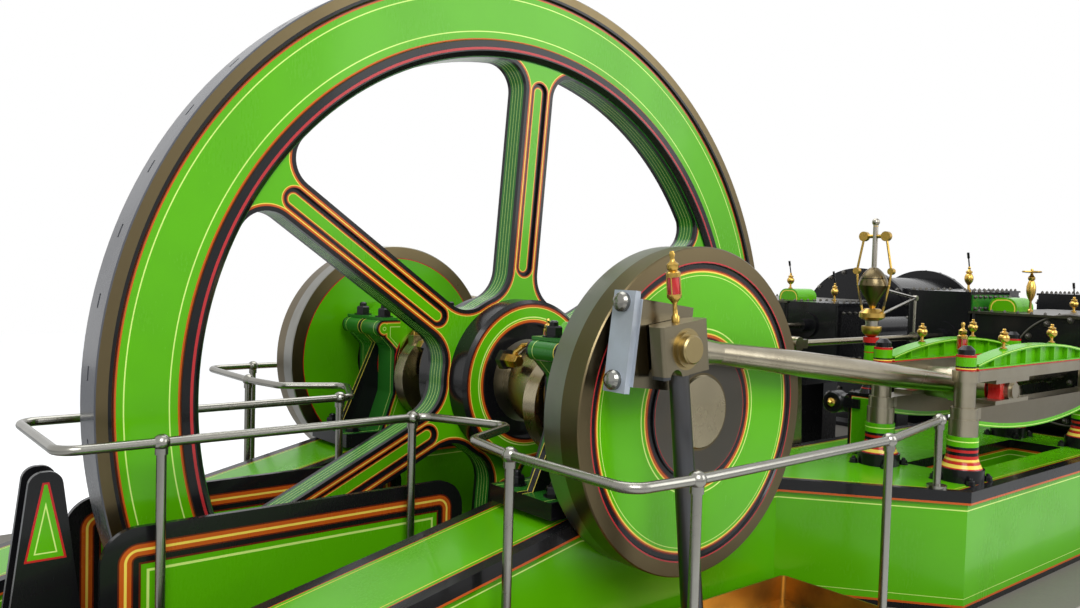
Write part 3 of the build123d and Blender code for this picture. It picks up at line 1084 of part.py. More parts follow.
def governor_head():
    """The turning head: spindle, vase, pear weight, crossbar, arms and finial."""
    base = GOVERNOR_COLUMN_TOP + GOVERNOR_BOWL_HEIGHT + 1
    r, wide, top = GOVERNOR_SPINDLE_RADIUS, GOVERNOR_VASE_RADIUS, GOVERNOR_VASE_TOP
    waist = base + (top - base) * 0.3
    shoulder = (base + top) / 2
    vase = [(0, GOVERNOR_STAND_TOP + GOVERNOR_NECK), (r, GOVERNOR_STAND_TOP + GOVERNOR_NECK), (r, base),
            (wide / 2, base), (wide / 2, waist), (wide * 0.75, waist + GOVERNOR_BEAD), (wide, shoulder),
            (wide, shoulder + GOVERNOR_BEAD * 3), (wide * 0.6, top), (r, top),
            (r, GOVERNOR_BALL_Z), (0, GOVERNOR_BALL_Z)]
    head = turned_upright(vase) + governor_weight()
    head += Pos(0, 0, GOVERNOR_BALL_Z) * Sphere(GOVERNOR_BALL_RADIUS)
    bar, arm, joint = GOVERNOR_CROSSBAR_HALF, GOVERNOR_ARM / 2, GOVERNOR_ARM_JOINT_Z
    head += cross_pin(0, GOVERNOR_CROSSBAR_Z, arm * 1.6, -bar, bar)
    for side in (-1, 1):
        out, hug = side * GOVERNOR_ARM_REACH, side * (GOVERNOR_WEIGHT_RADIUS + GOVERNOR_ARM)
        head += Pos(0, side * bar, GOVERNOR_CROSSBAR_Z) * Rot(0, 90, 0) * Cylinder(
            GOVERNOR_EYE_RADIUS, GOVERNOR_ARM * 2)
        head += Pos(0, out, joint) * Rot(0, 90, 0) * Cylinder(GOVERNOR_ARM * 1.4, GOVERNOR_ARM * 2)
        head += link((0, side * bar, GOVERNOR_CROSSBAR_Z), (0, out, joint), arm)
        head += link((0, out, joint), (0, hug, GOVERNOR_WEIGHT_MIDDLE), arm)
        head += link((0, hug, GOVERNOR_WEIGHT_MIDDLE), (0, side * wide * 0.8, shoulder), arm)
        head += Pos(0, hug, GOVERNOR_WEIGHT_MIDDLE) * Sphere(arm + 1)
    return Pos(GOVERNOR_X, -GOVERNOR_PLANE, 0) * head


def governor_gear():
    """The two links from the governor to the rod that hangs on the near valve rod."""
    y = -STRAP_PLANE
    knee = (GOVERNOR_LINK_X, y, GOVERNOR_LINK_TOP)
    gear = link((GOVERNOR_LINK_X, y, VALVE_ROD_HEIGHT + GOVERNOR_EYE_RADIUS), knee, GOVERNOR_LINK_RADIUS)
    for x, side, z in GOVERNOR_LINK_ENDS:
        gear += link((x, side, z), knee, GOVERNOR_LINK_RADIUS)
        gear += Pos(x, side, z) * Rot(90, 0, 0) * Cylinder(GOVERNOR_LINK_EYE, GOVERNOR_LINK_RADIUS * 2)
    gear += Pos(*knee) * Rot(90, 0, 0) * Cylinder(GOVERNOR_LINK_EYE, GOVERNOR_LINK_RADIUS * 3)
    half, wide = GOVERNOR_LINK_EYE * 0.7, GOVERNOR_EYE_RADIUS + GOVERNOR_LINK_RADIUS
    bore = VALVE_ROD_RADIUS + EYE_CLEARANCE
    ring = [(GOVERNOR_LINK_X - half, bore), (GOVERNOR_LINK_X - half, wide),
            (GOVERNOR_LINK_X + half, wide), (GOVERNOR_LINK_X + half, bore)]
    return gear + turned_along(ring, y, VALVE_ROD_HEIGHT)


def guard_plates():
    """Cast guard plates along the wheel pit of one line, with rounded top corners."""
    top = -GUARD_TOP_BELOW_SHAFT
    y0, y1 = GUARD_PLANE - GUARD_THICKNESS / 2, GUARD_PLANE + GUARD_THICKNESS / 2
    return Compound([rounded_plate([(x0, FLOOR), (x1, FLOOR), (x1, top), (x0, top)],
                                   GUARD_CORNER, y0, y1)
                     for x0, x1 in ((-GUARD_END, -GUARD_START), (GUARD_START, GUARD_END))])


def handrail():
    """The bent rail of one line, with a ball and socket over each stanchion."""
    z = -RAIL_BELOW_SHAFT
    line = FilletPolyline(*[(x, y, z) for x, y in RAIL_ROUTE], radius=RAIL_BEND)
    start = Plane(origin=(RAIL_LOOP_X, 0, z), z_dir=(0, 1, 0))
    rail = sweep(start * Circle(RAIL_RADIUS), path=line)
    for x, y, foot in RAIL_STANCHIONS:
        rail += Pos(x, y, z) * Sphere(RAIL_BALL_RADIUS)
        rail += upright(x, y, RAIL_SOCKET_RADIUS, z - RAIL_SOCKET, z)
    return rail


def rail_stanchions():
    """The stanchions under both handrails, each with a flange on what it stands on."""
    posts = []
    top = -RAIL_BELOW_SHAFT - RAIL_SOCKET
    for side in (-1, 1):
        for x, y, foot in RAIL_STANCHIONS:
            post = upright(x, side * y, RAIL_RADIUS, foot, top)
            flange = upright(x, side * y, RAIL_FLANGE_RADIUS, foot, foot + RAIL_FLANGE_HEIGHT)
            posts.append(post + flange)
    return Compound(posts)


def barring_stand():
    """The pair of round-topped plates that take the barring lever at the wheel's edge."""
    z0, z1 = FLOOR, FLOOR + STAND_HEIGHT
    outline = [(STAND_X - STAND_FOOT_HALF, z0), (STAND_X + STAND_FOOT_HALF, z0),
               (STAND_X + STAND_TOP_HALF, z1), (STAND_X - STAND_TOP_HALF, z1)]
    outside = (STAND_PLATE_GAP + STAND_PLATE) / 2
    stand = box(STAND_X - STAND_FOOT_HALF, STAND_X + STAND_FOOT_HALF, -outside, outside,
                z0, z0 + STAND_BASE)
    stand += cross_pin(STAND_X, z1 - STAND_BASE, STAND_PLATE, -outside, outside)
    for y in (-STAND_PLATE_GAP / 2, STAND_PLATE_GAP / 2):
        stand += rounded_plate(outline, STAND_TOP_HALF - 2, y - STAND_PLATE / 2, y + STAND_PLATE / 2)
    return stand


def oil_tray():
    """The copper tray under one crank, slotted for the pump rod."""
    x, end = CRANK_PIT_HALF_LENGTH + TRAY_MARGIN, CRANK_PIT_END + TRAY_MARGIN
    y0, y1 = CRANK_PIT_INNER - TRAY_MARGIN, CRANK_PIT_OUTER + TRAY_MARGIN
    tray = box(-x, end, y0, y1, FLOOR, FLOOR + TRAY_HEIGHT)
    inside = box(-x + TRAY_WALL, end - TRAY_WALL, y0 + TRAY_WALL, y1 - TRAY_WALL,
                 FLOOR + TRAY_WALL, FLOOR + TRAY_HEIGHT)
    tray = fillet(tray.edges().filter_by(Axis.Z), TRAY_CORNER)
    tray -= fillet(inside.edges().filter_by(Axis.Z), TRAY_CORNER - TRAY_WALL)
    return tray - box(-x * TRAY_SLOT_HEAD, x * TRAY_SLOT_FOOT, PUMP_ROD_PLANE - TRAY_SLOT_WIDTH / 2,
                      PUMP_ROD_PLANE + TRAY_SLOT_WIDTH / 2, FLOOR, FLOOR + TRAY_HEIGHT)


def oil_cup(x, y, z, height, radius):
    """A turned oil cup standing on its foot: stem, bowl and knob."""
    shares = [(0, 0), (0.5, 0), (0.5, 0.1), (0.3, 0.14), (0.3, 0.26), (1, 0.34), (1, 0.8),
              (0.8, 0.86), (0.4, 0.88), (0.4, 1), (0, 1)]
    return turned_upright([(radius * r, z + height * up) for r, up in shares], x, y)


def cup_pad_top(x):
    """The height of the flat pad under a slide bar's oil cup."""
    return arch_height(x, BAR_BOW_UP) + CUP_PAD


def oil_cups(angle, steam_cups):
    """The oil cups of one line: on the guides, the rod ends, the eccentric and the steam end."""
    cups = [oil_cup(x, ROD_PLANE + side * POST_SPACING / 2, cup_pad_top(x), BAR_CUP_HEIGHT, BAR_CUP_RADIUS)
            for x in BAR_CUP_PLACES for side in (-1, 1)]
    cups.append(oil_cup(crosshead_x(angle), ROD_PLANE, SMALL_END_RADIUS + EYE_CLEARANCE,
                        SMALL_END_CUP_HEIGHT, SIGHT_CUP_RADIUS))
    cups.append(on_pump_rod(oil_cup(0, 0, PUMP_BIG_END_HEIGHT / 2, CRANK_CUP_HEIGHT, SIGHT_CUP_RADIUS),
                            angle))
    cups.append(oil_cup(STRAP_LUG_X, STRAP_PLANE, STRAP_LUG_TOP, SHEAVE_CUP_HEIGHT, BAR_CUP_RADIUS))
    cups += [oil_cup(x, y, z, height, CASING_CUP_RADIUS) for x, y, z, height in steam_cups]
    return Compound(cups)


def place(shape, near=False):
    """Move a shape from the shaft line to its place, mirrored for the near line."""
    if near:
        shape = mirror(shape, about=Plane.XZ)
    return Pos(SHAFT_X, 0, SHAFT_HEIGHT) * shape


def save(name, shape, near=False):
    """Write one piece to its own file."""
    export_step(place(shape, near), f"parts/{name}.step")


def save_line(line, near, angle, chest_top, steam_cups):
    """Write every piece of one engine line."""
    pieces = {
        "foundation": foundation(), "bed": bed(), "pedestal": pedestal(),
        "bearing_cap": bearing_cap(), "bearing_bush": bearing_bush(), "crank_disc": crank_disc(),
        "crank_pin": crank_pin(angle), "connecting_rod": connecting_rod(angle),
        "pump_rod": pump_rod(angle), "pump_lever": lever(angle), "air_pump": air_pump(angle),
        "eccentric": eccentric(), "valve_rod": valve_rod(), "guide_posts": guide_posts(),
        "slide_bars": slide_bars(), "crosshead": crosshead(angle), "piston_rod": piston_rod(angle),
        "high_cylinder": high_cylinder(), "low_cylinder": low_cylinder(),
        "high_chest": high_chest(chest_top), "low_chest": low_chest(),
        "guard_plates": guard_plates(), "handrail": handrail(), "oil_tray": oil_tray(),
        "oil_cups": oil_cups(angle, steam_cups),
    }
    for name, shape in pieces.items():
        save(f"{name}_{line}", shape, near)


def main():
    """Build every piece of the engine and write it out."""
    os.makedirs("parts", exist_ok=True)
    save("wheel_pit_walls", wheel_pit_walls())
    save("flywheel", flywheel())
    save("crankshaft", crankshaft())
    save("governor_column", governor_column())
    save("governor_head", governor_head())
    save("governor_gear", governor_gear())
    save("rail_stanchions", rail_stanchions())
    save("barring_stand", barring_stand())
    save_line("near", True, NEAR_CRANK_ANGLE, CHEST_TOP_NEAR, STEAM_CUPS_NEAR)
    save_line("far", False, FAR_CRANK_ANGLE, CHEST_TOP_FAR, STEAM_CUPS_FAR)


main()
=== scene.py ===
import logging
import math
from dataclasses import dataclass, field
from enum import Enum
from functools import reduce
from typing import Sequence, Union

import bmesh
import bpy
from mathutils import Matrix, Vector


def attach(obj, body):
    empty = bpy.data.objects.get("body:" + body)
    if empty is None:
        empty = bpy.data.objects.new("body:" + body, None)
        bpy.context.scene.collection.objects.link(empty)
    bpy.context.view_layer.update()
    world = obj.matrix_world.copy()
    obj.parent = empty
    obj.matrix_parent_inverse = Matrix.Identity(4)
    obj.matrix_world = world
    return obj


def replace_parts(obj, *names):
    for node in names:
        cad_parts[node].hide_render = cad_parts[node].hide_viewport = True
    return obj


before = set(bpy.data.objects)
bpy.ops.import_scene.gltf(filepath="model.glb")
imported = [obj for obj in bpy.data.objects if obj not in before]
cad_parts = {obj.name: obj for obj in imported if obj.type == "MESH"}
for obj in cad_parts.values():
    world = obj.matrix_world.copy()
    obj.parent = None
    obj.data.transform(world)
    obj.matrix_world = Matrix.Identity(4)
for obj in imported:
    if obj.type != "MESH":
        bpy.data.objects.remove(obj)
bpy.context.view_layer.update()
LOG = logging.getLogger("engine")

Number = Union[float, "Signal"]
Tint = Union[tuple, "Paint", "Signal"]
Point = Sequence[float]

UP = Vector((0, 0, 1))
HEAD = Vector((-1, 0, 0))
FOOT = Vector((1, 0, 0))

# Shared measures in metres: the shaft's place in the frame, and then places from the shaft.
SHAFT_X, SHAFT_Z = -2.29, 2.10
BED_TOP, FLOOR = -0.42, -1.0
THROW, ROD_LENGTH = 0.4826, 2.413
ROD_Y = 1.385
BEARING_Y, BEARING_HALF = 0.84, 0.2
BAR_PLANES = (1.165, 1.605)
POST_PLACES = (1.6, 3.14)
GOVERNOR = (1.8, -0.975)
HOOD_BASE = 0.345


class Paint(Enum):
    """Enamels and bare metals of the engine, as linear red, green and blue."""

    GREEN = (0.092, 0.40, 0.001)
    # On the wheel's spoke flanks and rim inner face this darker green is painted shade; elsewhere
    # it is a darker paint.
    DARK_GREEN = (0.022, 0.165, 0.016)
    PALE = (0.62, 0.82, 0.20)
    YELLOW = (0.82, 0.62, 0.09)
    ORANGE = (0.50, 0.088, 0.008)
    RED = (0.46, 0.014, 0.012)
    MAROON = (0.11, 0.012, 0.004)
    PINK = (0.42, 0.026, 0.03)
    BLACK = (0.006, 0.006, 0.007)
    PLATE_GREY = (0.36, 0.40, 0.45)
    STEEL = (0.33, 0.31, 0.265)
    TREAD_STEEL = (0.085, 0.088, 0.10)
    HOOP_STEEL = (0.25, 0.248, 0.225)
    DARK_STEEL = (0.085, 0.078, 0.065)
    OILED_STEEL = (0.075, 0.078, 0.084)
    BROWN_STEEL = (0.125, 0.098, 0.052)
    BLOCK_STEEL = (0.19, 0.165, 0.11)
    ROD_STEEL = (0.34, 0.305, 0.225)
    RAIL_STEEL = (0.28, 0.275, 0.245)
    SHAFT_STEEL = (0.36, 0.31, 0.205)
    NUT_STEEL = (0.12, 0.115, 0.105)
    PIN_STEEL = (0.30, 0.235, 0.11)
    COPPER = (0.52, 0.30, 0.075)
    BRASS = (0.54, 0.345, 0.08)

    @property
    def share(self) -> float:
        """The share of paint: nought for bare metal, one for enamel."""
        return 0.0 if self.name.endswith(("STEEL", "COPPER", "BRASS")) else 1.0


@dataclass(frozen=True)
class Line:
    """One of the two lines of the engine, which the wheel stands between."""

    name: str
    near: bool
    crank_angle: float

    def at(self, x: float, y: float, z: float) -> Vector:
        """Turn shaft measures into a point of the frame.

        Args:
            x: Metres from the shaft towards the cylinders.
            y: Metres outward from the wheel.
            z: Metres above the shaft.

        Returns:
            The point in the frame.
        """
        return Vector((x + SHAFT_X, -y if self.near else y, z + SHAFT_Z))

    @property
    def outward(self) -> Vector:
        """The direction away from the wheel."""
        return Vector((0, -1 if self.near else 1, 0))

    @property
    def pin(self) -> tuple:
        """Where the crank pin stands, as x and z from the shaft."""
        turn = math.radians(self.crank_angle)
        return THROW * math.cos(turn), THROW * math.sin(turn)

    @property
    def cross_x(self) -> float:
        """How far along the line the crosshead's pin stands."""
        x, z = self.pin
        return x + math.sqrt(ROD_LENGTH ** 2 - z ** 2)


NEAR, FAR = LINES = (Line("near", True, 143.0), Line("far", False, 53.0))


@dataclass(frozen=True)
class Bow:
    """The arc along a slide bar's back, as heights above the shaft."""

    rise: float
    middle_x: float = 2.37
    half_span: float = 0.724
    level: float = 0.150

    @property
    def radius(self) -> float:
        """The arc's radius."""
        return (self.half_span ** 2 + self.rise ** 2) / (2 * self.rise)

    @property
    def centre(self) -> float:
        """The height of the arc's centre."""
        return self.level + self.rise - self.radius

    def height(self, x: float) -> float:
        """The height of the arc at x."""
        return self.centre + math.sqrt(self.radius ** 2 - (x - self.middle_x) ** 2)


UPPER_BOW, LOWER_BOW = Bow(0.076), Bow(0.060)


@dataclass(frozen=True)
class Signal:
    """A value or colour that changes over the surface; a value takes plain arithmetic."""

    graph: "Graph"
    socket: bpy.types.NodeSocket

    def __add__(self, other: Number) -> "Signal":
        """The sum."""
        return self.graph.math("ADD", self, other)

    def __sub__(self, other: Number) -> "Signal":
        """The difference."""
        return self.graph.math("SUBTRACT", self, other)

    def __rsub__(self, other: float) -> "Signal":
        """The difference from a plain number."""
        return self.graph.math("SUBTRACT", other, self)

    def __mul__(self, other: Number) -> "Signal":
        """The product."""
        return self.graph.math("MULTIPLY", self, other)

    def __abs__(self) -> "Signal":
        """The value without its sign."""
        return self.graph.math("ABSOLUTE", self)

    def __gt__(self, other: Number) -> "Signal":
        """A mask of one where the value is above the other."""
        return self.graph.math("GREATER_THAN", self, other)

    def __lt__(self, other: Number) -> "Signal":
        """A mask of one where the value is below the other."""
        return self.graph.math("LESS_THAN", self, other)


@dataclass(frozen=True)
class Layer:
    """A colour over the surface, and the share of it that is paint and not bare metal."""

    colour: Tint
    share: Number = 1.0

    def under(self, mask: Signal, top: "Layer") -> "Layer":
        """Lay another layer over this one.

        Args:
            mask: One where the other layer covers this one.
            top: The other layer.

        Returns:
            Both as one layer.
        """
        share = self.share
        if share != top.share:
            share = mask.graph.blend(mask, share, top.share)
        return Layer(mask.graph.mix(mask, self.colour, top.colour), share)


class Graph:
    """Adds nodes to one node tree and links them."""

    def __init__(self, tree: bpy.types.NodeTree) -> None:
        """Take the tree to work on."""
        self.tree = tree

    def node(self, kind: str, **settings: object) -> bpy.types.Node:
        """Add a node and set its properties.

        Args:
            kind: The node's type.
            settings: The properties by name.

        Returns:
            The new node.
        """
        node = self.tree.nodes.new(kind)
        for key, value in settings.items():
            setattr(node, key, value)
        return node

    def feed(self, socket: bpy.types.NodeSocket, value: object) -> None:
        """Link a signal to an input, or set the input's own value.

        Args:
            socket: The input.
            value: A signal, a plain value, a paint or a colour.
        """
        if isinstance(value, Signal):
            self.tree.links.new(value.socket, socket)
            return
        if isinstance(value, Paint):
            value = value.value
        socket.default_value = (*value, 1.0) if socket.type == "RGBA" else value

    def math(self, operation: str, *values: Number) -> Signal:
        """Add a Math node.

        Args:
            operation: What the node works out.
            values: Its numbers, as many as the operation takes.

        Returns:
            The node's result.
        """
        node = self.node("ShaderNodeMath", operation=operation)
        for socket, value in zip(node.inputs, values):
            self.feed(socket, value)
        return Signal(self, node.outputs[0])

    def least(self, *values: Number) -> Signal:
        """The smallest of some values."""
        return reduce(lambda first, second: self.math("MINIMUM", first, second), values)

    def most(self, *values: Number) -> Signal:
        """The largest of some values."""
        return reduce(lambda first, second: self.math("MAXIMUM", first, second), values)

    def length(self, first: Signal, second: Signal) -> Signal:
        """The length of a line, from its reach in two square directions."""
        return self.math("SQRT", first * first + second * second)

    def mix(self, share: Number, first: Tint, second: Tint) -> Signal:
        """Blend two colours.

        Args:
            share: The share of the second colour.
            first: The first colour.
            second: The second colour.

        Returns:
            The blend.
        """
        node = self.node("ShaderNodeMix", data_type="RGBA")
        for index, value in ((0, share), (6, first), (7, second)):
            self.feed(node.inputs[index], value)
        return Signal(self, node.outputs[2])

    def blend(self, share: Number, first: Number, second: Number) -> Signal:
        """Blend two numbers.

        Args:
            share: The share of the second number.
            first: The first number.
            second: The second number.

        Returns:
            The blend.
        """
        node = self.node("ShaderNodeMix", data_type="FLOAT")
        for index, value in ((0, share), (2, first), (3, second)):
            self.feed(node.inputs[index], value)
        return Signal(self, node.outputs[0])

    def noise(self, scale: Number, detail: float = 3.0, stretch: Point = (1.0, 1.0, 1.0)) -> Signal:
        """Add a noise over the piece.

        Args:
            scale: How fine the noise is.
            detail: How many finer steps it has.
            stretch: How much finer it is along each axis.

        Returns:
            The noise's value.
        """
        place = self.node("ShaderNodeVectorMath", operation="MULTIPLY")
        self.feed(place.inputs[0], self.position())
        place.inputs[1].default_value = stretch
        node = self.node("ShaderNodeTexNoise")
        self.feed(node.inputs["Vector"], Signal(self, place.outputs[0]))
        self.feed(node.inputs["Scale"], scale)
        node.inputs["Detail"].default_value = detail
        return Signal(self, node.outputs["Fac"])

    def position(self) -> Signal:
        """The point on the piece, in the piece's own unmoved frame."""
        return Signal(self, self.node("ShaderNodeTexCoord").outputs["Object"])

    def facing(self) -> Signal:
        """How squarely the surface looks along the shaft."""
        return abs(self.split(Signal(self, self.node("ShaderNodeTexCoord").outputs["Normal"]))[1])

    def split(self, vector: Signal) -> tuple:
        """Part a vector.

        Args:
            vector: The vector.

        Returns:
            Its three parts.
        """
        node = self.node("ShaderNodeSeparateXYZ")
        self.feed(node.inputs[0], vector)
        return tuple(Signal(self, part) for part in node.outputs)

    def point(self, x: float = 0.0, y: float = 0.0, z: float = 0.0) -> tuple:
        """The point on the piece, measured from a place.

        Args:
            x: The place's metres from the shaft towards the cylinders.
            y: The place's Y in the frame.
            z: The place's metres above the shaft.

        Returns:
            The three distances from the place.
        """
        node = self.node("ShaderNodeVectorMath", operation="ADD")
        self.feed(node.inputs[0], self.position())
        node.inputs[1].default_value = (-SHAFT_X - x, -y, -SHAFT_Z - z)
        return self.split(Signal(self, node.outputs[0]))

    def effect(self, effect: "Effect", **inputs: object) -> dict:
        """Place a shared effect.

        Args:
            effect: The effect.
            inputs: Its inputs, named with underscores for spaces.

        Returns:
            The effect's outputs by name.
        """
        node = self.node("ShaderNodeGroup")
        node.node_tree = effect.tree()
        for key, value in inputs.items():
            self.feed(node.inputs[key.replace("_", " ").title()], value)
        return {output.name: Signal(self, output) for output in node.outputs}

    def bands(self, value: Signal, span: float, stripes: Sequence[tuple]) -> Layer:
        """Colour a distance by stripes.

        Args:
            value: The distance in metres.
            span: The distance at which the ramp ends.
            stripes: Pairs of a starting distance and the paint from there on.

        Returns:
            The stripes as a layer.
        """
        ramp = self.node("ShaderNodeValToRGB")
        ramp.color_ramp.interpolation = "CONSTANT"
        self.feed(ramp.inputs[0], self.math("DIVIDE", value, span))
        elements = ramp.color_ramp.elements
        elements.remove(elements[-1])
        elements[0].color = (*stripes[0][1].value, stripes[0][1].share)
        for start, paint in stripes[1:]:
            elements.new(min(start / span, 1.0)).color = (*paint.value, paint.share)
        painted = all(paint.share for _, paint in stripes)
        return Layer(Signal(self, ramp.outputs["Color"]),
                     1.0 if painted else Signal(self, ramp.outputs["Alpha"]))


class Effect:
    """A shared effect, built once as a node group with named inputs and outputs."""

    name = ""
    inputs: dict = {}
    outputs: tuple = ()
    grey = (0.5, 0.5, 0.5, 1.0)

    def tree(self) -> bpy.types.NodeTree:
        """Get the effect's group, and build it the first time.

        Returns:
            The group.
        """
        made = bpy.data.node_groups.get(self.name)
        if made:
            return made
        made = bpy.data.node_groups.new(self.name, "ShaderNodeTree")
        for direction, labels in (("INPUT", self.inputs), ("OUTPUT", self.outputs)):
            for label in labels:
                kind = "NodeSocketColor" if label == "Colour" else "NodeSocketFloat"
                socket = made.interface.new_socket(name=label, in_out=direction, socket_type=kind)
                if direction == "INPUT":
                    socket.default_value = self.inputs[label]
        graph = Graph(made)
        given = graph.node("NodeGroupInput").outputs
        results = self.fill(graph, {label: Signal(graph, given[label]) for label in self.inputs})
        taken = graph.node("NodeGroupOutput").inputs
        for label, value in zip(self.outputs, results):
            graph.feed(taken[label], value)
        return made

    def fill(self, graph: Graph, given: dict) -> tuple:
        """Add the effect's nodes, and return its outputs in the order of their names."""
        raise NotImplementedError


class EnamelCoat(Effect):
    """Brushed enamel: slow shade changes, faint brush marks and a little grime."""

    name = "enamel_coat"
    inputs = {"Colour": Effect.grey, "Grime": 0.25}
    outputs = ("Colour", "Roughness", "Height")
    shade_noise = (2.3, 4.0)
    brush_noise = (6.0, 3.0, (18.0, 18.0, 5.0))
    clean_below = 0.45
    dirt_gain = 1.6
    dirt_tint = (0.02, 0.018, 0.012)
    roughness = 0.10
    shade_roughness = 0.22
    brush_roughness = 0.08

    def fill(self, graph: Graph, given: dict) -> tuple:
        """Add the enamel's nodes.

        Args:
            graph: The group's graph.
            given: The group's inputs by name.

        Returns:
            The colour, the roughness and the height of the brush marks.
        """
        shade = graph.noise(*self.shade_noise)
        brush = graph.noise(*self.brush_noise)
        dirt = graph.most((shade - self.clean_below) * given["Grime"], 0.0)
        rough = brush * self.brush_roughness + (shade * self.shade_roughness + self.roughness)
        return graph.mix(dirt * self.dirt_gain, given["Colour"], self.dirt_tint), rough, brush


class MachinedMetal(Effect):
    """Machined metal: fine tool marks, oil patches and a little tarnish."""

    name = "machined_metal"
    inputs = {"Colour": Effect.grey, "Grain": 40.0, "Polish": 0.3, "Tarnish": 0.3}
    outputs = ("Colour", "Roughness", "Height")
    grain_detail = 4.0
    grain_stretch = (1.0, 6.0, 1.0)
    patch_noise = (5.0, 5.0)
    clean_below = 0.42
    stain_gain = 4.0
    stain_limit = 0.8
    stain_tint = (0.10, 0.072, 0.035)
    patch_roughness = 0.18
    grain_roughness = 0.06

    def fill(self, graph: Graph, given: dict) -> tuple:
        """Add the metal's nodes.

        Args:
            graph: The group's graph.
            given: The group's inputs by name.

        Returns:
            The colour, the roughness and the height of the tool marks.
        """
        grain = graph.noise(given["Grain"], self.grain_detail, self.grain_stretch)
        patch = graph.noise(*self.patch_noise)
        stain = graph.most(patch - self.clean_below, 0.0) * (given["Tarnish"] * self.stain_gain)
        stain = graph.least(stain, self.stain_limit)
        rough = grain * self.grain_roughness + (patch * self.patch_roughness + given["Polish"])
        return graph.mix(stain, given["Colour"], self.stain_tint), rough, grain


class ShaftRadius(Effect):
    """The distance from the shaft's line, its angle, and the distance from the wheel's plane."""

    name = "shaft_radius"
    outputs = ("Radius", "Angle", "Across")

    def fill(self, graph: Graph, given: dict) -> tuple:
        """Add the nodes of the three measures."""
        x, y, z = graph.point()
        return graph.length(x, z), graph.math("ARCTAN2", z, x), abs(y)


class PanelEdge(Effect):
    """The distance inside the edge of a rectangle with rounded corners, negative outside."""

    name = "panel_edge"
    inputs = {"U": 0.0, "V": 0.0, "Half Length": 1.0, "Half Height": 0.5, "Corner": 0.1}
    outputs = ("Inside",)

    def fill(self, graph: Graph, given: dict) -> tuple:
        """Add the panel's nodes.

        Args:
            graph: The group's graph.
            given: The group's inputs by name.

        Returns:
            The distance inside the edge.
        """
        corner = given["Corner"]
        over_u, over_v = (abs(given[along]) - given[half] + corner
                          for along, half in (("U", "Half Length"), ("V", "Half Height")))
        round_part = graph.length(graph.most(over_u, 0.0), graph.most(over_v, 0.0))
        flat_part = graph.least(graph.most(over_u, over_v), 0.0)
        return (corner - (round_part + flat_part),)


@dataclass(frozen=True)
class Finish:
    """One finish: how a surface is coloured, and what slot of the record it stands for."""

    name: str
    slot: str

    BUMP_STRENGTH = 0.35

    def material(self) -> bpy.types.Material:
        """Get the finish's material, and make it the first time.

        Returns:
            The material.
        """
        made = bpy.data.materials.get(self.name)
        if made:
            return made
        made = bpy.data.materials.new(self.name)
        made.use_nodes = True
        self.wire(Graph(made.node_tree), made.node_tree.nodes["Principled BSDF"].inputs)
        return made

    def wire(self, graph: Graph, shader: bpy.types.NodeInputs) -> None:
        """Feed the shader's inputs."""
        raise NotImplementedError

    def bump(self, graph: Graph, shader: bpy.types.NodeInputs, height: Signal,
             depth: float) -> None:
        """Feed a height to the shader's normal.

        Args:
            graph: The material's graph.
            shader: The shader's inputs.
            height: The height over the surface.
            depth: The bump's depth in metres.
        """
        bump = graph.node("ShaderNodeBump")
        bump.inputs["Strength"].default_value = self.BUMP_STRENGTH
        bump.inputs["Distance"].default_value = depth
        graph.feed(bump.inputs["Height"], height)
        graph.feed(shader["Normal"], Signal(graph, bump.outputs[0]))


@dataclass(frozen=True)
class Metal(Finish):
    """Bare metal with tool marks."""

    colour: Paint = Paint.STEEL
    polish: float = 0.16
    grain: float = 60.0
    tarnish: float = 0.25
    satin_roughness: float = 0.45
    mark_depth: float = 0.00015

    def coloured(self, graph: Graph) -> Layer:
        """The metal's colour, and its share of satin."""
        return Layer(self.colour, 0.0)

    def wire(self, graph: Graph, shader: bpy.types.NodeInputs) -> None:
        """Feed the shader's inputs with the metal.

        Args:
            graph: The material's graph.
            shader: The shader's inputs.
        """
        layer = self.coloured(graph)
        metal = graph.effect(MachinedMetal(), colour=layer.colour, grain=self.grain,
                             polish=self.polish, tarnish=self.tarnish)
        rough = metal["Roughness"]
        if isinstance(layer.share, Signal):
            rough = graph.blend(layer.share, rough, self.satin_roughness)
            graph.feed(shader["Metallic"], 1.0 - layer.share)
        else:
            shader["Metallic"].default_value = 1.0
        graph.feed(shader["Base Color"], metal["Colour"])
        graph.feed(shader["Roughness"], rough)
        self.bump(graph, shader, metal["Height"], self.mark_depth)


@dataclass(frozen=True)
class Enamel(Finish):
    """Gloss paint, plain or with lining and bare metal where the layer says so."""

    paint: Paint = Paint.GREEN
    grime: float = 0.25
    gloss: float = 0.15
    gloss_roughness: float = 0.08
    specular: float = 0.2
    mark_depth: float = 0.00012
    bare_polish: float = 0.2
    bare_grain: float = 60.0
    bare_tarnish: float = 0.2

    def painted(self, graph: Graph) -> Layer:
        """The colour and the share of paint over the surface."""
        return Layer(self.paint)

    def wire(self, graph: Graph, shader: bpy.types.NodeInputs) -> None:
        """Feed the shader's inputs with the paint.

        Args:
            graph: The material's graph.
            shader: The shader's inputs.
        """
        layer = self.painted(graph)
        share = layer.share
        coat = graph.effect(EnamelCoat(), colour=layer.colour, grime=self.grime)
        colour, rough = coat["Colour"], coat["Roughness"]
        shader["Coat Roughness"].default_value = self.gloss_roughness
        shader["Specular IOR Level"].default_value = self.specular
        if isinstance(share, Signal):
            metal = graph.effect(MachinedMetal(), colour=layer.colour, grain=self.bare_grain,
                                 polish=self.bare_polish, tarnish=self.bare_tarnish)
            colour = graph.mix(share, metal["Colour"], colour)
            rough = graph.blend(share, metal["Roughness"], rough)
            graph.feed(shader["Metallic"], 1.0 - share)
            graph.feed(shader["Coat Weight"], share * self.gloss)
        else:
            shader["Coat Weight"].default_value = self.gloss
        graph.feed(shader["Base Color"], colour)
        graph.feed(shader["Roughness"], rough)
        self.bump(graph, shader, coat["Height"], self.mark_depth)


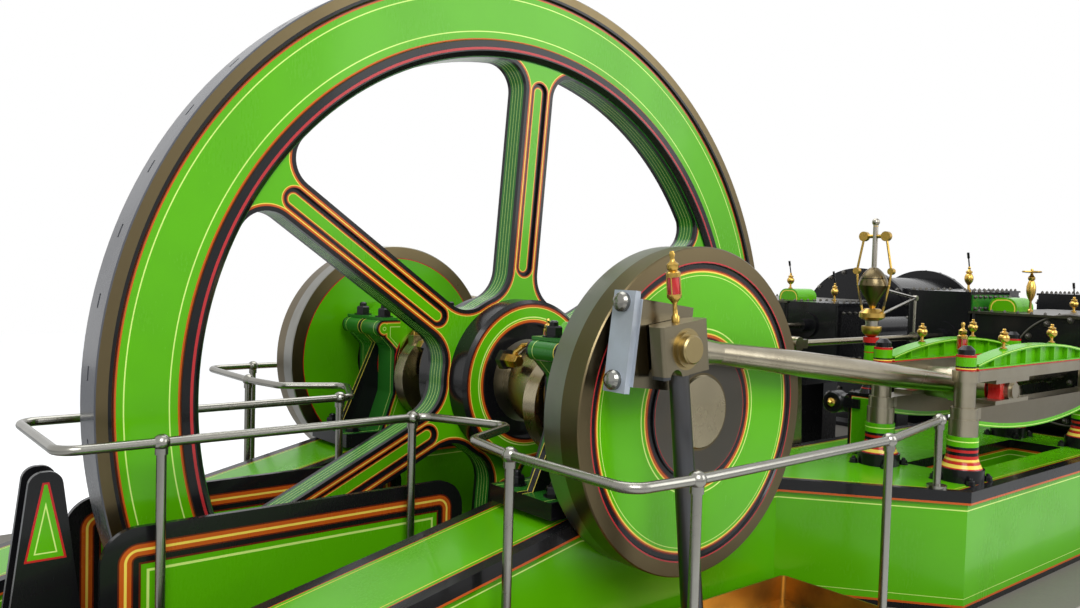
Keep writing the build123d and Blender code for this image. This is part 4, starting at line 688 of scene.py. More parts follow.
@dataclass(frozen=True)
class WheelEnamel(Enamel):
    """The flywheel's paint: banded rim, lined spokes with their spandrels, and banded hub."""

    spokes: int = 6
    spoke_angle: float = 85.5
    spoke_half: float = 0.0875
    rim_edge: float = 1.590
    rim_inner: float = 1.589
    rim_face: float = 0.0895
    rim_start: float = 1.58
    tread: float = 1.9745
    hub_outer: float = 0.43
    hub_ring: float = 0.4035
    hub_face: float = 0.078
    rim_corner: float = 0.13
    hub_corner: float = 0.165
    panel_middle: float = 1.01
    panel_half: float = 0.49
    panel_half_width: float = 0.046
    panel_lining: float = 0.0125
    panel_margin: float = 0.001
    floor_level: float = 0.0595
    face_level: float = 0.0735

    def corner(self, graph: Graph, along: Signal, aside: Signal, outer: bool) -> tuple:
        """One rounded corner of the openings between the spokes.

        Args:
            graph: The material's graph.
            along: The distance along the spoke from the shaft.
            aside: The distance from the spoke's middle line.
            outer: Whether the corner is the one at the rim.

        Returns:
            The mask of the corner's sector and the distance from its edge.
        """
        radius = self.rim_corner if outer else self.hub_corner
        reach = self.rim_inner - radius if outer else self.hub_outer + radius
        middle_v = self.spoke_half + radius
        middle_u = math.sqrt(reach ** 2 - middle_v ** 2)
        over_u, over_v = along - middle_u, aside - middle_v
        past = over_u > 0.0 if outer else over_u < 0.0
        within = aside < along * (middle_v / middle_u)
        return past * within, graph.length(over_u, over_v) - radius

    def spoke_lines(self, graph: Graph, radius: Signal, angle: Signal) -> tuple:
        """The paint of a spoke's face: lining round the openings and round the sunk panel.

        Args:
            graph: The material's graph.
            radius: The distance from the shaft's line.
            angle: The angle about the shaft's line.

        Returns:
            The layer and the mask of the sunk panel.
        """
        step = 2 * math.pi / self.spokes
        turned = angle - (math.radians(self.spoke_angle) - step / 2)
        around = graph.math("FLOORED_MODULO", turned, step) - step / 2
        along = radius * graph.math("COSINE", around)
        aside = radius * graph.math("SINE", around)
        width = abs(aside)
        edge = graph.most(self.spoke_half - width, self.hub_outer - radius)
        for outer in (True, False):
            sector, distance = self.corner(graph, along, width, outer)
            edge = graph.blend(sector, edge, distance)
        outline = graph.bands(edge, 0.5, (
            (0.0, Paint.BLACK), (0.016, Paint.MAROON), (0.0195, Paint.ORANGE),
            (0.0255, Paint.YELLOW), (0.0295, Paint.GREEN)))
        inside = graph.effect(PanelEdge(), u=along - self.panel_middle, v=aside,
                              half_length=self.panel_half, half_height=self.panel_half_width,
                              corner=self.panel_half_width)["Inside"]
        panel = graph.bands(inside + self.panel_lining, 0.1, (
            (0.0, Paint.YELLOW), (0.003, Paint.ORANGE), (0.009, Paint.MAROON),
            (0.012, Paint.BLACK), (0.027, Paint.MAROON), (0.0295, Paint.ORANGE),
            (0.034, Paint.YELLOW), (0.037, Paint.GREEN)))
        return outline.under(inside > -self.panel_lining, panel), inside > -self.panel_margin

    def painted(self, graph: Graph) -> Layer:
        """Paint the wheel.

        Args:
            graph: The material's graph.

        Returns:
            The wheel's layer.
        """
        radius, angle, across = graph.effect(ShaftRadius()).values()
        rim = graph.bands(radius - self.rim_start, 0.42, (
            (0.0, Paint.BLACK), (0.040, Paint.PINK), (0.052, Paint.BLACK), (0.084, Paint.MAROON),
            (0.088, Paint.ORANGE), (0.095, Paint.GREEN), (0.124, Paint.PALE), (0.129, Paint.GREEN),
            (0.291, Paint.PALE), (0.296, Paint.GREEN), (0.321, Paint.ORANGE),
            (0.328, Paint.MAROON), (0.332, Paint.BLACK), (0.352, Paint.BROWN_STEEL)))
        hub = graph.bands(radius, 0.5, (
            (0.0, Paint.STEEL), (0.205, Paint.BLACK), (0.288, Paint.MAROON), (0.292, Paint.ORANGE),
            (0.303, Paint.YELLOW), (0.308, Paint.GREEN), (0.314, Paint.PALE), (0.319, Paint.GREEN),
            (0.362, Paint.YELLOW), (0.367, Paint.ORANGE), (0.376, Paint.MAROON),
            (0.381, Paint.BLACK)))
        # Painted shade: the rim's inner face and edges (inner) and the spoke flanks (flank) are the
        # same green as the broad faces, but drawn in a darker green to stand for the shade on these
        # side faces. The pale lines on them are real lining.
        inner = graph.bands(across, 0.2, (
            (0.0, Paint.DARK_GREEN), (0.014, Paint.PALE), (0.017, Paint.DARK_GREEN),
            (0.052, Paint.PALE), (0.055, Paint.DARK_GREEN), (0.078, Paint.BLACK)))
        flank = graph.bands(across, 0.2, (
            (0.0, Paint.DARK_GREEN), (0.010, Paint.PALE), (0.0125, Paint.DARK_GREEN),
            (0.034, Paint.PALE), (0.0365, Paint.DARK_GREEN), (0.052, Paint.BLACK)))
        lines, sunk = self.spoke_lines(graph, radius, angle)
        on_face = graph.most(across > self.face_level, (across > self.floor_level) * sunk)
        rim = inner.under(across > self.rim_face, rim)
        rim = rim.under(radius > self.tread, Layer(Paint.TREAD_STEEL))
        wheel = flank.under(on_face, lines).under(radius > self.rim_edge, rim)
        return wheel.under((radius < self.hub_ring) * (across > self.hub_face), hub)


@dataclass(frozen=True)
class DiscEnamel(Enamel):
    """A crank disc: lined rings on its face, a green back, and a bare tread painted lighter towards
    the back and darker brown towards the face as painted reflection.
    """

    face: float = 1.285
    back: float = 1.106
    edge: float = 0.662
    # Painted reflection: the tread's lighter steel towards the back and darker brown steel towards
    # the face stand for the reflections on it; the steel itself is real bare metal.
    tread_reflection: tuple = ((0.0, Paint.HOOP_STEEL), (0.094, Paint.BROWN_STEEL))
    reverse: tuple = (
        (0.0, Paint.BROWN_STEEL), (0.234, Paint.BLACK), (0.250, Paint.GREEN), (0.590, Paint.RED),
        (0.596, Paint.BROWN_STEEL))
    front: tuple = (
        (0.0, Paint.BROWN_STEEL), (0.156, Paint.DARK_STEEL), (0.266, Paint.PINK),
        (0.270, Paint.BLACK), (0.298, Paint.MAROON), (0.303, Paint.ORANGE), (0.313, Paint.YELLOW),
        (0.318, Paint.GREEN), (0.333, Paint.PALE), (0.3375, Paint.GREEN), (0.5475, Paint.PALE),
        (0.552, Paint.GREEN), (0.563, Paint.YELLOW), (0.567, Paint.ORANGE), (0.573, Paint.MAROON),
        (0.577, Paint.BLACK), (0.600, Paint.PINK), (0.605, Paint.BROWN_STEEL))

    def painted(self, graph: Graph) -> Layer:
        """Paint the disc by the distance from the shaft.

        Args:
            graph: The material's graph.

        Returns:
            The disc's layer.
        """
        radius, _, across = graph.effect(ShaftRadius()).values()
        # The tread's two tones are painted reflection.
        layer = graph.bands(across - self.back, 0.2, self.tread_reflection)
        for side, stripes in ((across > self.face, self.front), (across < self.back, self.reverse)):
            layer = layer.under(side * (radius < self.edge), graph.bands(radius, 0.7, stripes))
        return layer


@dataclass(frozen=True)
class GuardEnamel(Enamel):
    """The guard plates: lining that runs round each plate's rounded outline."""

    middles: tuple = (-1.2245, 1.2245)
    half_length: float = 0.7745
    middle_z: float = -0.962
    half_height: float = 0.55
    corner: float = 0.13
    margin: float = 0.05
    overlap: float = 0.002
    stripes: tuple = (
        (0.0, Paint.BLACK), (0.060, Paint.MAROON), (0.065, Paint.ORANGE), (0.082, Paint.YELLOW),
        (0.091, Paint.ORANGE), (0.106, Paint.MAROON), (0.112, Paint.BLACK), (0.132, Paint.MAROON),
        (0.140, Paint.GREEN), (0.160, Paint.PALE), (0.168, Paint.GREEN))

    def painted(self, graph: Graph) -> Layer:
        """Paint the plates by the distance from their edges.

        Args:
            graph: The material's graph.

        Returns:
            The plates' layer.
        """
        x, _, z = graph.point(z=self.middle_z)
        layer = Layer(self.paint)
        for middle in self.middles:
            inside = graph.effect(PanelEdge(), u=x - middle, v=z, half_length=self.half_length,
                                  half_height=self.half_height, corner=self.corner)["Inside"]
            layer = layer.under(abs(x - middle) < self.half_length + self.margin,
                                graph.bands(inside + self.overlap, 0.5, self.stripes))
        return layer


@dataclass(frozen=True)
class LevelEnamel(Enamel):
    """Paint and bare metal in bands by height above the shaft."""

    low: float = -0.45
    high: float = 0.3
    stripes: tuple = ()

    def painted(self, graph: Graph) -> Layer:
        """The bands, by height."""
        return graph.bands(graph.point(z=self.low)[2], self.high - self.low,
                           [(start - self.low, paint) for start, paint in self.stripes])


@dataclass(frozen=True)
class PedestalEnamel(Enamel):
    """The bearing pedestal's paint: a lined edge on its waisted cheeks and darker lined sides."""

    waist: float = 0.275
    taper: float = -0.35
    spread: float = 0.2225
    shoulder: float = 0.18
    nose_x: float = 0.343
    nose_z: float = 0.208
    nose: float = 0.045
    top: float = 0.253
    ring: float = 0.280
    foot: float = -0.3505

    def painted(self, graph: Graph) -> Layer:
        """Paint the cheeks by the distance from their outline, and the sides across them.

        Args:
            graph: The material's graph.

        Returns:
            The pedestal's layer.
        """
        x, y, z = graph.point()
        width = abs(x)
        reach = graph.most(z * self.taper + self.spread, z + self.shoulder, self.waist)
        nose = self.nose - graph.length(width - self.nose_x, z - self.nose_z)
        inside = graph.most(graph.least(reach, self.nose_x) - width, nose)
        face = graph.bands(graph.least(inside, self.top - z), 0.4, (
            (0.0, Paint.BLACK), (0.007, Paint.ORANGE), (0.013, Paint.YELLOW), (0.017, Paint.GREEN),
            (0.034, Paint.PALE), (0.037, Paint.GREEN)))
        bore = graph.length(x, z)
        ring = graph.bands(bore, 0.5, (
            (0.0, Paint.BRASS), (0.262, Paint.BLACK), (0.272, Paint.RED), (0.280, Paint.GREEN)))
        side = graph.bands(BEARING_HALF - abs(abs(y) - BEARING_Y), 0.3, (
            (0.0, Paint.BLACK), (0.012, Paint.DARK_GREEN), (0.040, Paint.PALE),
            (0.044, Paint.DARK_GREEN), (0.1795, Paint.YELLOW), (0.185, Paint.BLACK)))
        cheek = face.under(bore < self.ring, Layer(ring.colour))
        body = side.under(graph.facing() > 0.5, cheek)
        return body.under(z < self.foot, Layer(Paint.BLACK))


@dataclass(frozen=True)
class CapEnamel(Enamel):
    """The bearing cap's paint: green, with a pale line round its crown and dark lugs."""

    half: float = 0.176
    top: float = 0.325
    lug: float = 0.262

    def painted(self, graph: Graph) -> Layer:
        """Paint the cap by the distance from its edges.

        Args:
            graph: The material's graph.

        Returns:
            The cap's layer.
        """
        x, y, z = graph.point()
        width = abs(x)
        across = BEARING_HALF - abs(abs(y) - BEARING_Y)
        crown = graph.bands(graph.least(across, self.half - width), 0.3, (
            (0.0, Paint.GREEN), (0.016, Paint.YELLOW), (0.021, Paint.GREEN), (0.034, Paint.PALE),
            (0.038, Paint.GREEN)))
        cheek = graph.bands(self.top - z, 0.4, (
            (0.0, Paint.GREEN), (0.014, Paint.YELLOW), (0.018, Paint.GREEN), (0.046, Paint.PALE),
            (0.049, Paint.GREEN)))
        body = crown.under(graph.facing() > 0.5, cheek)
        return body.under(width > self.lug, Layer(Paint.DARK_GREEN))


@dataclass(frozen=True)
class StandEnamel(Enamel):
    """The barring stand's paint: a green triangle with a red edge on black plates."""

    peak_z: float = -0.255
    foot_z: float = -0.545
    slope: float = 0.205
    peak_half: float = 0.013
    middle_x: float = -2.13
    plate_y: float = 0.071

    def painted(self, graph: Graph) -> Layer:
        """Paint the stand by the distance inside the triangle.

        Args:
            graph: The material's graph.

        Returns:
            The stand's layer.
        """
        x, y, z = graph.point(x=self.middle_x)
        below = self.peak_z - z
        side = below * self.slope + self.peak_half - abs(x)
        lines = graph.bands(graph.least(side, below, z - self.foot_z), 0.3, (
            (0.0, Paint.BLACK), (0.002, Paint.RED), (0.010, Paint.GREEN), (0.027, Paint.PALE),
            (0.032, Paint.GREEN)))
        return Layer(Paint.BLACK).under(abs(y) > self.plate_y, lines)


@dataclass(frozen=True)
class BarEnamel(Enamel):
    """A slide bar: bare flat faces under a painted arch that is lined along its bow."""

    rail_top: float = 0.132
    boss_foot: float = 0.118
    boss_half: float = 0.0475
    collar_half: float = 0.0685

    def arch(self, graph: Graph, x: Signal, bow: Bow) -> Signal:
        """The height of a bow above the shaft at x.

        Args:
            graph: The material's graph.
            x: Metres from the shaft towards the cylinders.
            bow: The bow.

        Returns:
            The height.
        """
        over = x - bow.middle_x
        return graph.math("SQRT", bow.radius ** 2 - over * over) + bow.centre

    def painted(self, graph: Graph) -> Layer:
        """Paint the bar by the distance below its bow, and its bosses by height.

        Args:
            graph: The material's graph.

        Returns:
            The bar's layer.
        """
        x, _, z = graph.point()
        upper = graph.bands(self.arch(graph, x, UPPER_BOW) - z, 0.4, (
            (0.0, Paint.GREEN), (0.004, Paint.PALE), (0.007, Paint.GREEN)))
        rail = graph.bands(z, 0.4, (
            (0.0, Paint.ROD_STEEL), (0.118, Paint.RED), (0.124, Paint.GREEN)))
        lower = graph.bands(self.arch(graph, x, LOWER_BOW) + z, 0.4, (
            (0.0, Paint.GREEN), (0.006, Paint.PALE), (0.009, Paint.GREEN),
            (0.024, Paint.BLOCK_STEEL)))
        boss = graph.bands(z, 0.4, (
            (0.0, Paint.ROD_STEEL), (0.118, Paint.RED), (0.126, Paint.YELLOW),
            (0.132, Paint.BLACK), (0.140, Paint.GREEN), (0.184, Paint.RED)))
        low = z < 0.0
        end = graph.least(*(abs(x - place) for place in POST_PLACES))
        bar = upper.under(z < self.rail_top, rail).under(low, lower)
        bar = bar.under((end < self.boss_half) * (z > self.boss_foot), boss)
        return bar.under((end < self.collar_half) * low, Layer(Paint.ROD_STEEL, 0.0))


@dataclass(frozen=True)
class CrossheadEnamel(Enamel):
    """The crosshead: steel shoes, red webs between them, and steel bosses round the pin."""

    pin_x: float = 2.0
    middle_half: float = 0.165
    boss: float = 0.057

    def painted(self, graph: Graph) -> Layer:
        """Paint the crosshead by height and by the distance from the pin.

        Args:
            graph: The material's graph.

        Returns:
            The crosshead's layer.
        """
        x, y, z = graph.point(x=self.pin_x)
        steel = Layer(Paint.ROD_STEEL, 0.0)
        shoes = graph.bands(abs(z), 0.1, ((0.0, Paint.RED), (0.0425, Paint.ROD_STEEL)))
        shoes = shoes.under(abs(abs(y) - ROD_Y) < self.middle_half, steel)
        return shoes.under(graph.length(x, z) < self.boss, steel)


@dataclass(frozen=True)
class RodMetal(Metal):
    """A connecting rod's metals along its length: nuts, satin keep, dark block, polished shank."""

    pin: tuple = (0.0, 0.0)
    satin: float = 0.8
    head: float = 0.3

    def coloured(self, graph: Graph) -> Layer:
        """Colour the rod by the distance along it from the crank pin.

        Args:
            graph: The material's graph.

        Returns:
            The rod's layer, whose share is its satin.
        """
        sine = self.pin[1] / ROD_LENGTH
        x, _, z = graph.point(x=self.pin[0], z=self.pin[1])
        along = x * math.sqrt(1 - sine ** 2) - z * sine
        rod = graph.bands(along + self.head, 0.6, (
            (0.0, Paint.HOOP_STEEL), (0.1215, Paint.PLATE_GREY), (0.1502, Paint.BLOCK_STEEL),
            (0.4502, Paint.ROD_STEEL)))
        return Layer(rod.colour, rod.share * self.satin)


@dataclass(frozen=True)
class GovernorStandEnamel(Enamel):
    """The governor column: lined stand box, banded column and brass bowl, with its drive."""

    half: float = 0.078
    margin: float = 0.002
    top: float = -0.08
    drive: tuple = (-0.1, -0.14)
    drive_y: float = -0.092

    def painted(self, graph: Graph) -> Layer:
        """Paint the column by height, its box by its edges and its drive by its hub.

        Args:
            graph: The material's graph.

        Returns:
            The column's layer.
        """
        x, y, z = graph.point(*GOVERNOR)
        rise = z - BED_TOP
        column = graph.bands(rise, 0.72, (
            (0.0, Paint.BLACK), (0.362, Paint.RED), (0.368, Paint.BLACK), (0.40, Paint.RED),
            (0.408, Paint.GREEN), (0.560, Paint.RED), (0.568, Paint.GREEN), (0.600, Paint.BLACK),
            (0.617, Paint.RED), (0.649, Paint.BRASS)))
        inside = self.half - graph.least(abs(x), abs(y))
        panel = graph.bands(graph.least(inside, self.top - z, rise), 0.2, (
            (0.0, Paint.BLACK), (0.020, Paint.ORANGE), (0.024, Paint.PALE), (0.027, Paint.GREEN)))
        on_box = (graph.most(abs(x), abs(y)) < self.half + self.margin) * (z < self.top)
        hub = graph.length(x - self.drive[0], z - self.drive[1])
        drive = graph.bands(hub, 0.2, ((0.0, Paint.BRASS), (0.027, Paint.BLACK)))
        return column.under(on_box, panel).under(y < self.drive_y, drive)


@dataclass(frozen=True)
class HeadMetal(Metal):
    """The governor head's metals by height: silver vase, brown steel pear, brass arms and ball."""

    arms: float = 0.0815
    spindle: float = 0.0145
    ball_z: float = 0.84

    def coloured(self, graph: Graph) -> Layer:
        """Colour the head by height and by the distance from its axle.

        Args:
            graph: The material's graph.

        Returns:
            The head's layer.
        """
        x, y, z = graph.point(*GOVERNOR)
        axle = graph.length(x, y)
        colour = graph.bands(z, 1.0, (
            (0.0, Paint.STEEL), (0.325, Paint.BRASS), (0.400, Paint.BROWN_STEEL),
            (0.548, Paint.BLACK), (0.551, Paint.BROWN_STEEL), (0.615, Paint.BRASS),
            (self.ball_z, Paint.STEEL))).colour
        colour = graph.mix(axle > self.arms, colour, Paint.BRASS)
        spindle = (axle < self.spindle) * (z < self.ball_z)
        return Layer(graph.mix(spindle, colour, Paint.STEEL), 0.0)


@dataclass(frozen=True)
class BedEnamel(Enamel):
    """The bed's paint: black lip, coloured edge lines, and a pale line low on the green side."""

    inner: float = 0.60
    outer: float = 1.765
    narrow: float = 1.09
    flare_x: float = 0.84
    flare: float = 1.2617
    slope_x: float = -0.43
    slope: float = 0.22
    head_x: float = 3.44
    tail_x: float = -2.38
    plinth: float = 0.08
    margin: float = 0.002

    def painted(self, graph: Graph) -> Layer:
        """Paint the bed by height and by the distance from its edges.

        Args:
            graph: The material's graph.

        Returns:
            The bed's layer.
        """
        x, y, z = graph.point()
        across, rise = abs(y), z - FLOOR
        drop = graph.most(self.slope_x - x, 0.0) * self.slope
        below = BED_TOP - (z + drop)
        sides = graph.bands(below, 0.7, (
            (0.0, Paint.BLACK), (0.051, Paint.ORANGE), (0.061, Paint.YELLOW),
            (0.0655, Paint.GREEN), (0.090, Paint.PALE), (0.095, Paint.GREEN)))
        plinth = graph.bands(rise, 0.7, (
            (0.0, Paint.BLACK), (0.026, Paint.ORANGE), (0.036, Paint.GREEN), (0.066, Paint.PALE),
            (0.071, Paint.GREEN)))
        spread = graph.most(x - self.flare_x, 0.0) * self.flare
        reach = graph.least(spread + self.narrow, self.outer)
        edge = graph.least(across - self.inner, reach - across, self.head_x - x, x - self.tail_x)
        flat = graph.bands(edge, 0.5, (
            (0.0, Paint.BLACK), (0.055, Paint.ORANGE), (0.062, Paint.GREEN), (0.078, Paint.YELLOW),
            (0.082, Paint.GREEN)))
        return sides.under(rise < self.plinth, plinth).under(below < self.margin, flat)


@dataclass(frozen=True)
class Masonry(Finish):
    """Dressed stone blocks with sunk joints."""

    stone: tuple = (0.36, 0.33, 0.28)
    mortar: tuple = (0.15, 0.14, 0.12)
    course: float = 0.275
    block: float = 0.62
    joint: float = 0.006
    relief: float = 0.006
    shades: tuple = (0.72, 1.2)
    grain_noise: tuple = (9.0, 6.0)
    fine_noise: tuple = (55.0, 4.0)
    fine_height: float = 0.35
    roughness: float = 0.65
    fine_roughness: float = 0.2

    def wire(self, graph: Graph, shader: bpy.types.NodeInputs) -> None:
        """Feed the shader's inputs with the stone.

        Args:
            graph: The material's graph.
            shader: The shader's inputs.
        """
        x, y, z = graph.split(graph.position())
        row = graph.math("FLOOR", graph.math("DIVIDE", z, self.course))
        stagger = graph.math("FLOORED_MODULO", row, 2.0) * (self.block / 2)
        across = graph.math("FLOORED_MODULO", x + y + stagger, self.block)
        rise = graph.math("FLOORED_MODULO", z, self.course)
        gap = graph.least(across, self.block - across, rise, self.course - rise)
        joint = gap < self.joint
        grain, fine = graph.noise(*self.grain_noise), graph.noise(*self.fine_noise)
        dark, light = (tuple(part * shade for part in self.stone) for shade in self.shades)
        mottle = graph.mix(grain, dark, light)
        graph.feed(shader["Base Color"], graph.mix(joint, mottle, self.mortar))
        graph.feed(shader["Roughness"], fine * self.fine_roughness + self.roughness)
        self.bump(graph, shader, fine * self.fine_height + grain - joint, self.relief)


@dataclass(frozen=True)
class OilGlass(Finish):
    """Red oil seen in a clear cup."""

    light: tuple = (0.55, 0.012, 0.01)
    deep: tuple = (0.30, 0.004, 0.006)
    cloud_scale: float = 20.0
    roughness: float = 0.05

    def wire(self, graph: Graph, shader: bpy.types.NodeInputs) -> None:
        """Feed the shader's inputs with the oil.

        Args:
            graph: The material's graph.
            shader: The shader's inputs.
        """
        cloud = graph.noise(self.cloud_scale)
        graph.feed(shader["Base Color"], graph.mix(cloud, self.light, self.deep))
        shader["Roughness"].default_value = self.roughness
        shader["Coat Weight"].default_value = 1.0


STEEL = Metal("bright_steel_turned", "bright_steel", Paint.STEEL, 0.14)
ROD_STEEL = Metal("rod_steel_polished", "bright_steel", Paint.ROD_STEEL, 0.12, 30.0, 0.15)
RAIL_STEEL = Metal("rail_steel_worn", "bright_steel", Paint.RAIL_STEEL, 0.13, 30.0, 0.15)
SHAFT_STEEL = Metal("shaft_steel_oiled", "bright_steel", Paint.SHAFT_STEEL, 0.16, 30.0, 0.3)
NUT_STEEL = Metal("nut_steel_dark", "bright_steel", Paint.NUT_STEEL, 0.30)
PIN_STEEL = Metal("pin_steel_turned", "dark_steel", Paint.PIN_STEEL, 0.2, 30.0, 0.15)
BRASS = Metal("brass_polished", "brass", Paint.BRASS, 0.12, 50.0, 0.12)
COPPER = Metal("copper_sheet", "copper", Paint.COPPER, 0.22, 12.0, 0.6)
HOOD_LINE = Enamel("hood_line_yellow", "green_paint", Paint.YELLOW, 0.1)
BLACK_IRON = Enamel("black_iron_oiled", "black_iron", Paint.BLACK, 0.2)
BLACK = Enamel("black_enamel", "black_paint", Paint.BLACK, 0.15)
DARK_PANEL = Enamel("panel_enamel_dark", "black_iron", Paint.DARK_GREEN, 0.5)
STONE = Masonry("stone_blocks", "stonework")
OIL = OilGlass("red_oil", "red_paint")
BAR = BarEnamel("bar_enamel", "green_paint")
POST = LevelEnamel("post_bands", "green_paint", low=-0.43, high=0.25, stripes=(
    (-0.43, Paint.BLACK), (-0.358, Paint.RED), (-0.352, Paint.YELLOW), (-0.335, Paint.RED),
    (-0.326, Paint.ORANGE), (-0.320, Paint.YELLOW), (-0.308, Paint.RED), (-0.292, Paint.BLACK),
    (-0.278, Paint.RED), (-0.264, Paint.BLACK), (-0.252, Paint.GREEN), (-0.226, Paint.PALE),
    (-0.221, Paint.GREEN), (-0.2005, Paint.ROD_STEEL), (0.196, Paint.BLACK)))
CASING = LevelEnamel("casing_bands", "black_iron", low=-1.01, high=0.6, stripes=(
    (-1.01, Paint.BLACK), (0.3295, Paint.DARK_STEEL), (0.3452, Paint.GREEN)))


def line_finishes(line: Line) -> dict:
    """Make the finishes that follow a line's crank.

    Args:
        line: The line.

    Returns:
        The finishes by the names of their nodes.
    """
    return {
        f"connecting_rod_{line.name}": RodMetal(
            f"rod_metals_{line.name}", "bright_steel", polish=0.12, grain=30.0, pin=line.pin),
        f"crosshead_{line.name}": CrossheadEnamel(
            f"crosshead_{line.name}_enamel", "red_paint", pin_x=line.cross_x),
        f"pump_rod_{line.name}": LevelEnamel(
            f"pump_rod_{line.name}_metals", "dark_steel", low=-2.0, high=0.6, stripes=(
                (-2.0, Paint.OILED_STEEL), (line.pin[1] - 0.098, Paint.BLOCK_STEEL))),
    }


# The start of a node's name, and the node's finish.
NODE_FINISHES = {
    **line_finishes(NEAR),
    **line_finishes(FAR),
    "foundation": STONE,
    "wheel_pit": STONE,
    "flywheel": WheelEnamel("wheel_enamel", "green_paint"),
    "crankshaft": SHAFT_STEEL,
    "crank_disc": DiscEnamel("disc_enamel", "dark_steel"),
    "crank_pin": PIN_STEEL,
    "pump_lever": BLACK,
    "air_pump": BLACK,
    "bed": BedEnamel("bed_enamel", "green_paint"),
    "pedestal": PedestalEnamel("pedestal_enamel", "green_paint"),
    "bearing_cap": CapEnamel("cap_enamel", "green_paint"),
    "bearing_bush": BRASS,
    "eccentric": SHAFT_STEEL,
    "valve_rod": ROD_STEEL,
    "guide_posts": POST,
    "slide_bars": BAR,
    "piston_rod": ROD_STEEL,
    "high_cylinder": CASING,
    "low_cylinder": BLACK_IRON,
    "high_chest": BLACK_IRON,
    "low_chest": BLACK_IRON,
    "governor_column": GovernorStandEnamel("governor_enamel", "green_paint"),
    "governor_head": HeadMetal("governor_metals", "brass", Paint.BRASS, 0.16, 50.0, 0.2),
    "governor_gear": STEEL,
    "guard_plates": GuardEnamel("guard_enamel", "green_paint"),
    "handrail": RAIL_STEEL,
    "rail_stanchions": RAIL_STEEL,
    "barring_stand": StandEnamel("stand_enamel", "black_paint"),
    "oil_tray": COPPER,
}


class NodeDresser:
    """Gives every CAD node its finish."""

    def dress(self) -> None:
        """Assign the finishes."""
        for name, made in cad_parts.items():
            finish = next((f for start, f in NODE_FINISHES.items() if name.startswith(start)), None)
            if finish:
                made.data.materials.clear()
                made.data.materials.append(finish.material())
                LOG.info("%s: %s", name, finish.name)


def circle(radius: float, sides: int, height: float = 0.0, start: float = 0.0) -> list:
    """Place points evenly round the Z axis.

    Args:
        radius: The circle's radius.
        sides: How many points there are.
        height: Their height.
        start: Where the first one stands, as a share of a step.

    Returns:
        The points.
    """
    turns = (2 * math.pi * (n + start) / sides for n in range(sides))
    return [Vector((radius * math.cos(turn), radius * math.sin(turn), height)) for turn in turns]


# A nut's washer, hexagon and stud: their sides, then pairs of a share of the hexagon's
# corner radius and a share of its width.
NUT_PARTS = (
    (14, ((1.25, 0.0), (1.25, 0.10))),
    (6, ((1.0, 0.10), (1.0, 0.62), (0.82, 0.72))),
    (10, ((0.52, 0.70), (0.52, 0.95), (0.312, 1.05))))


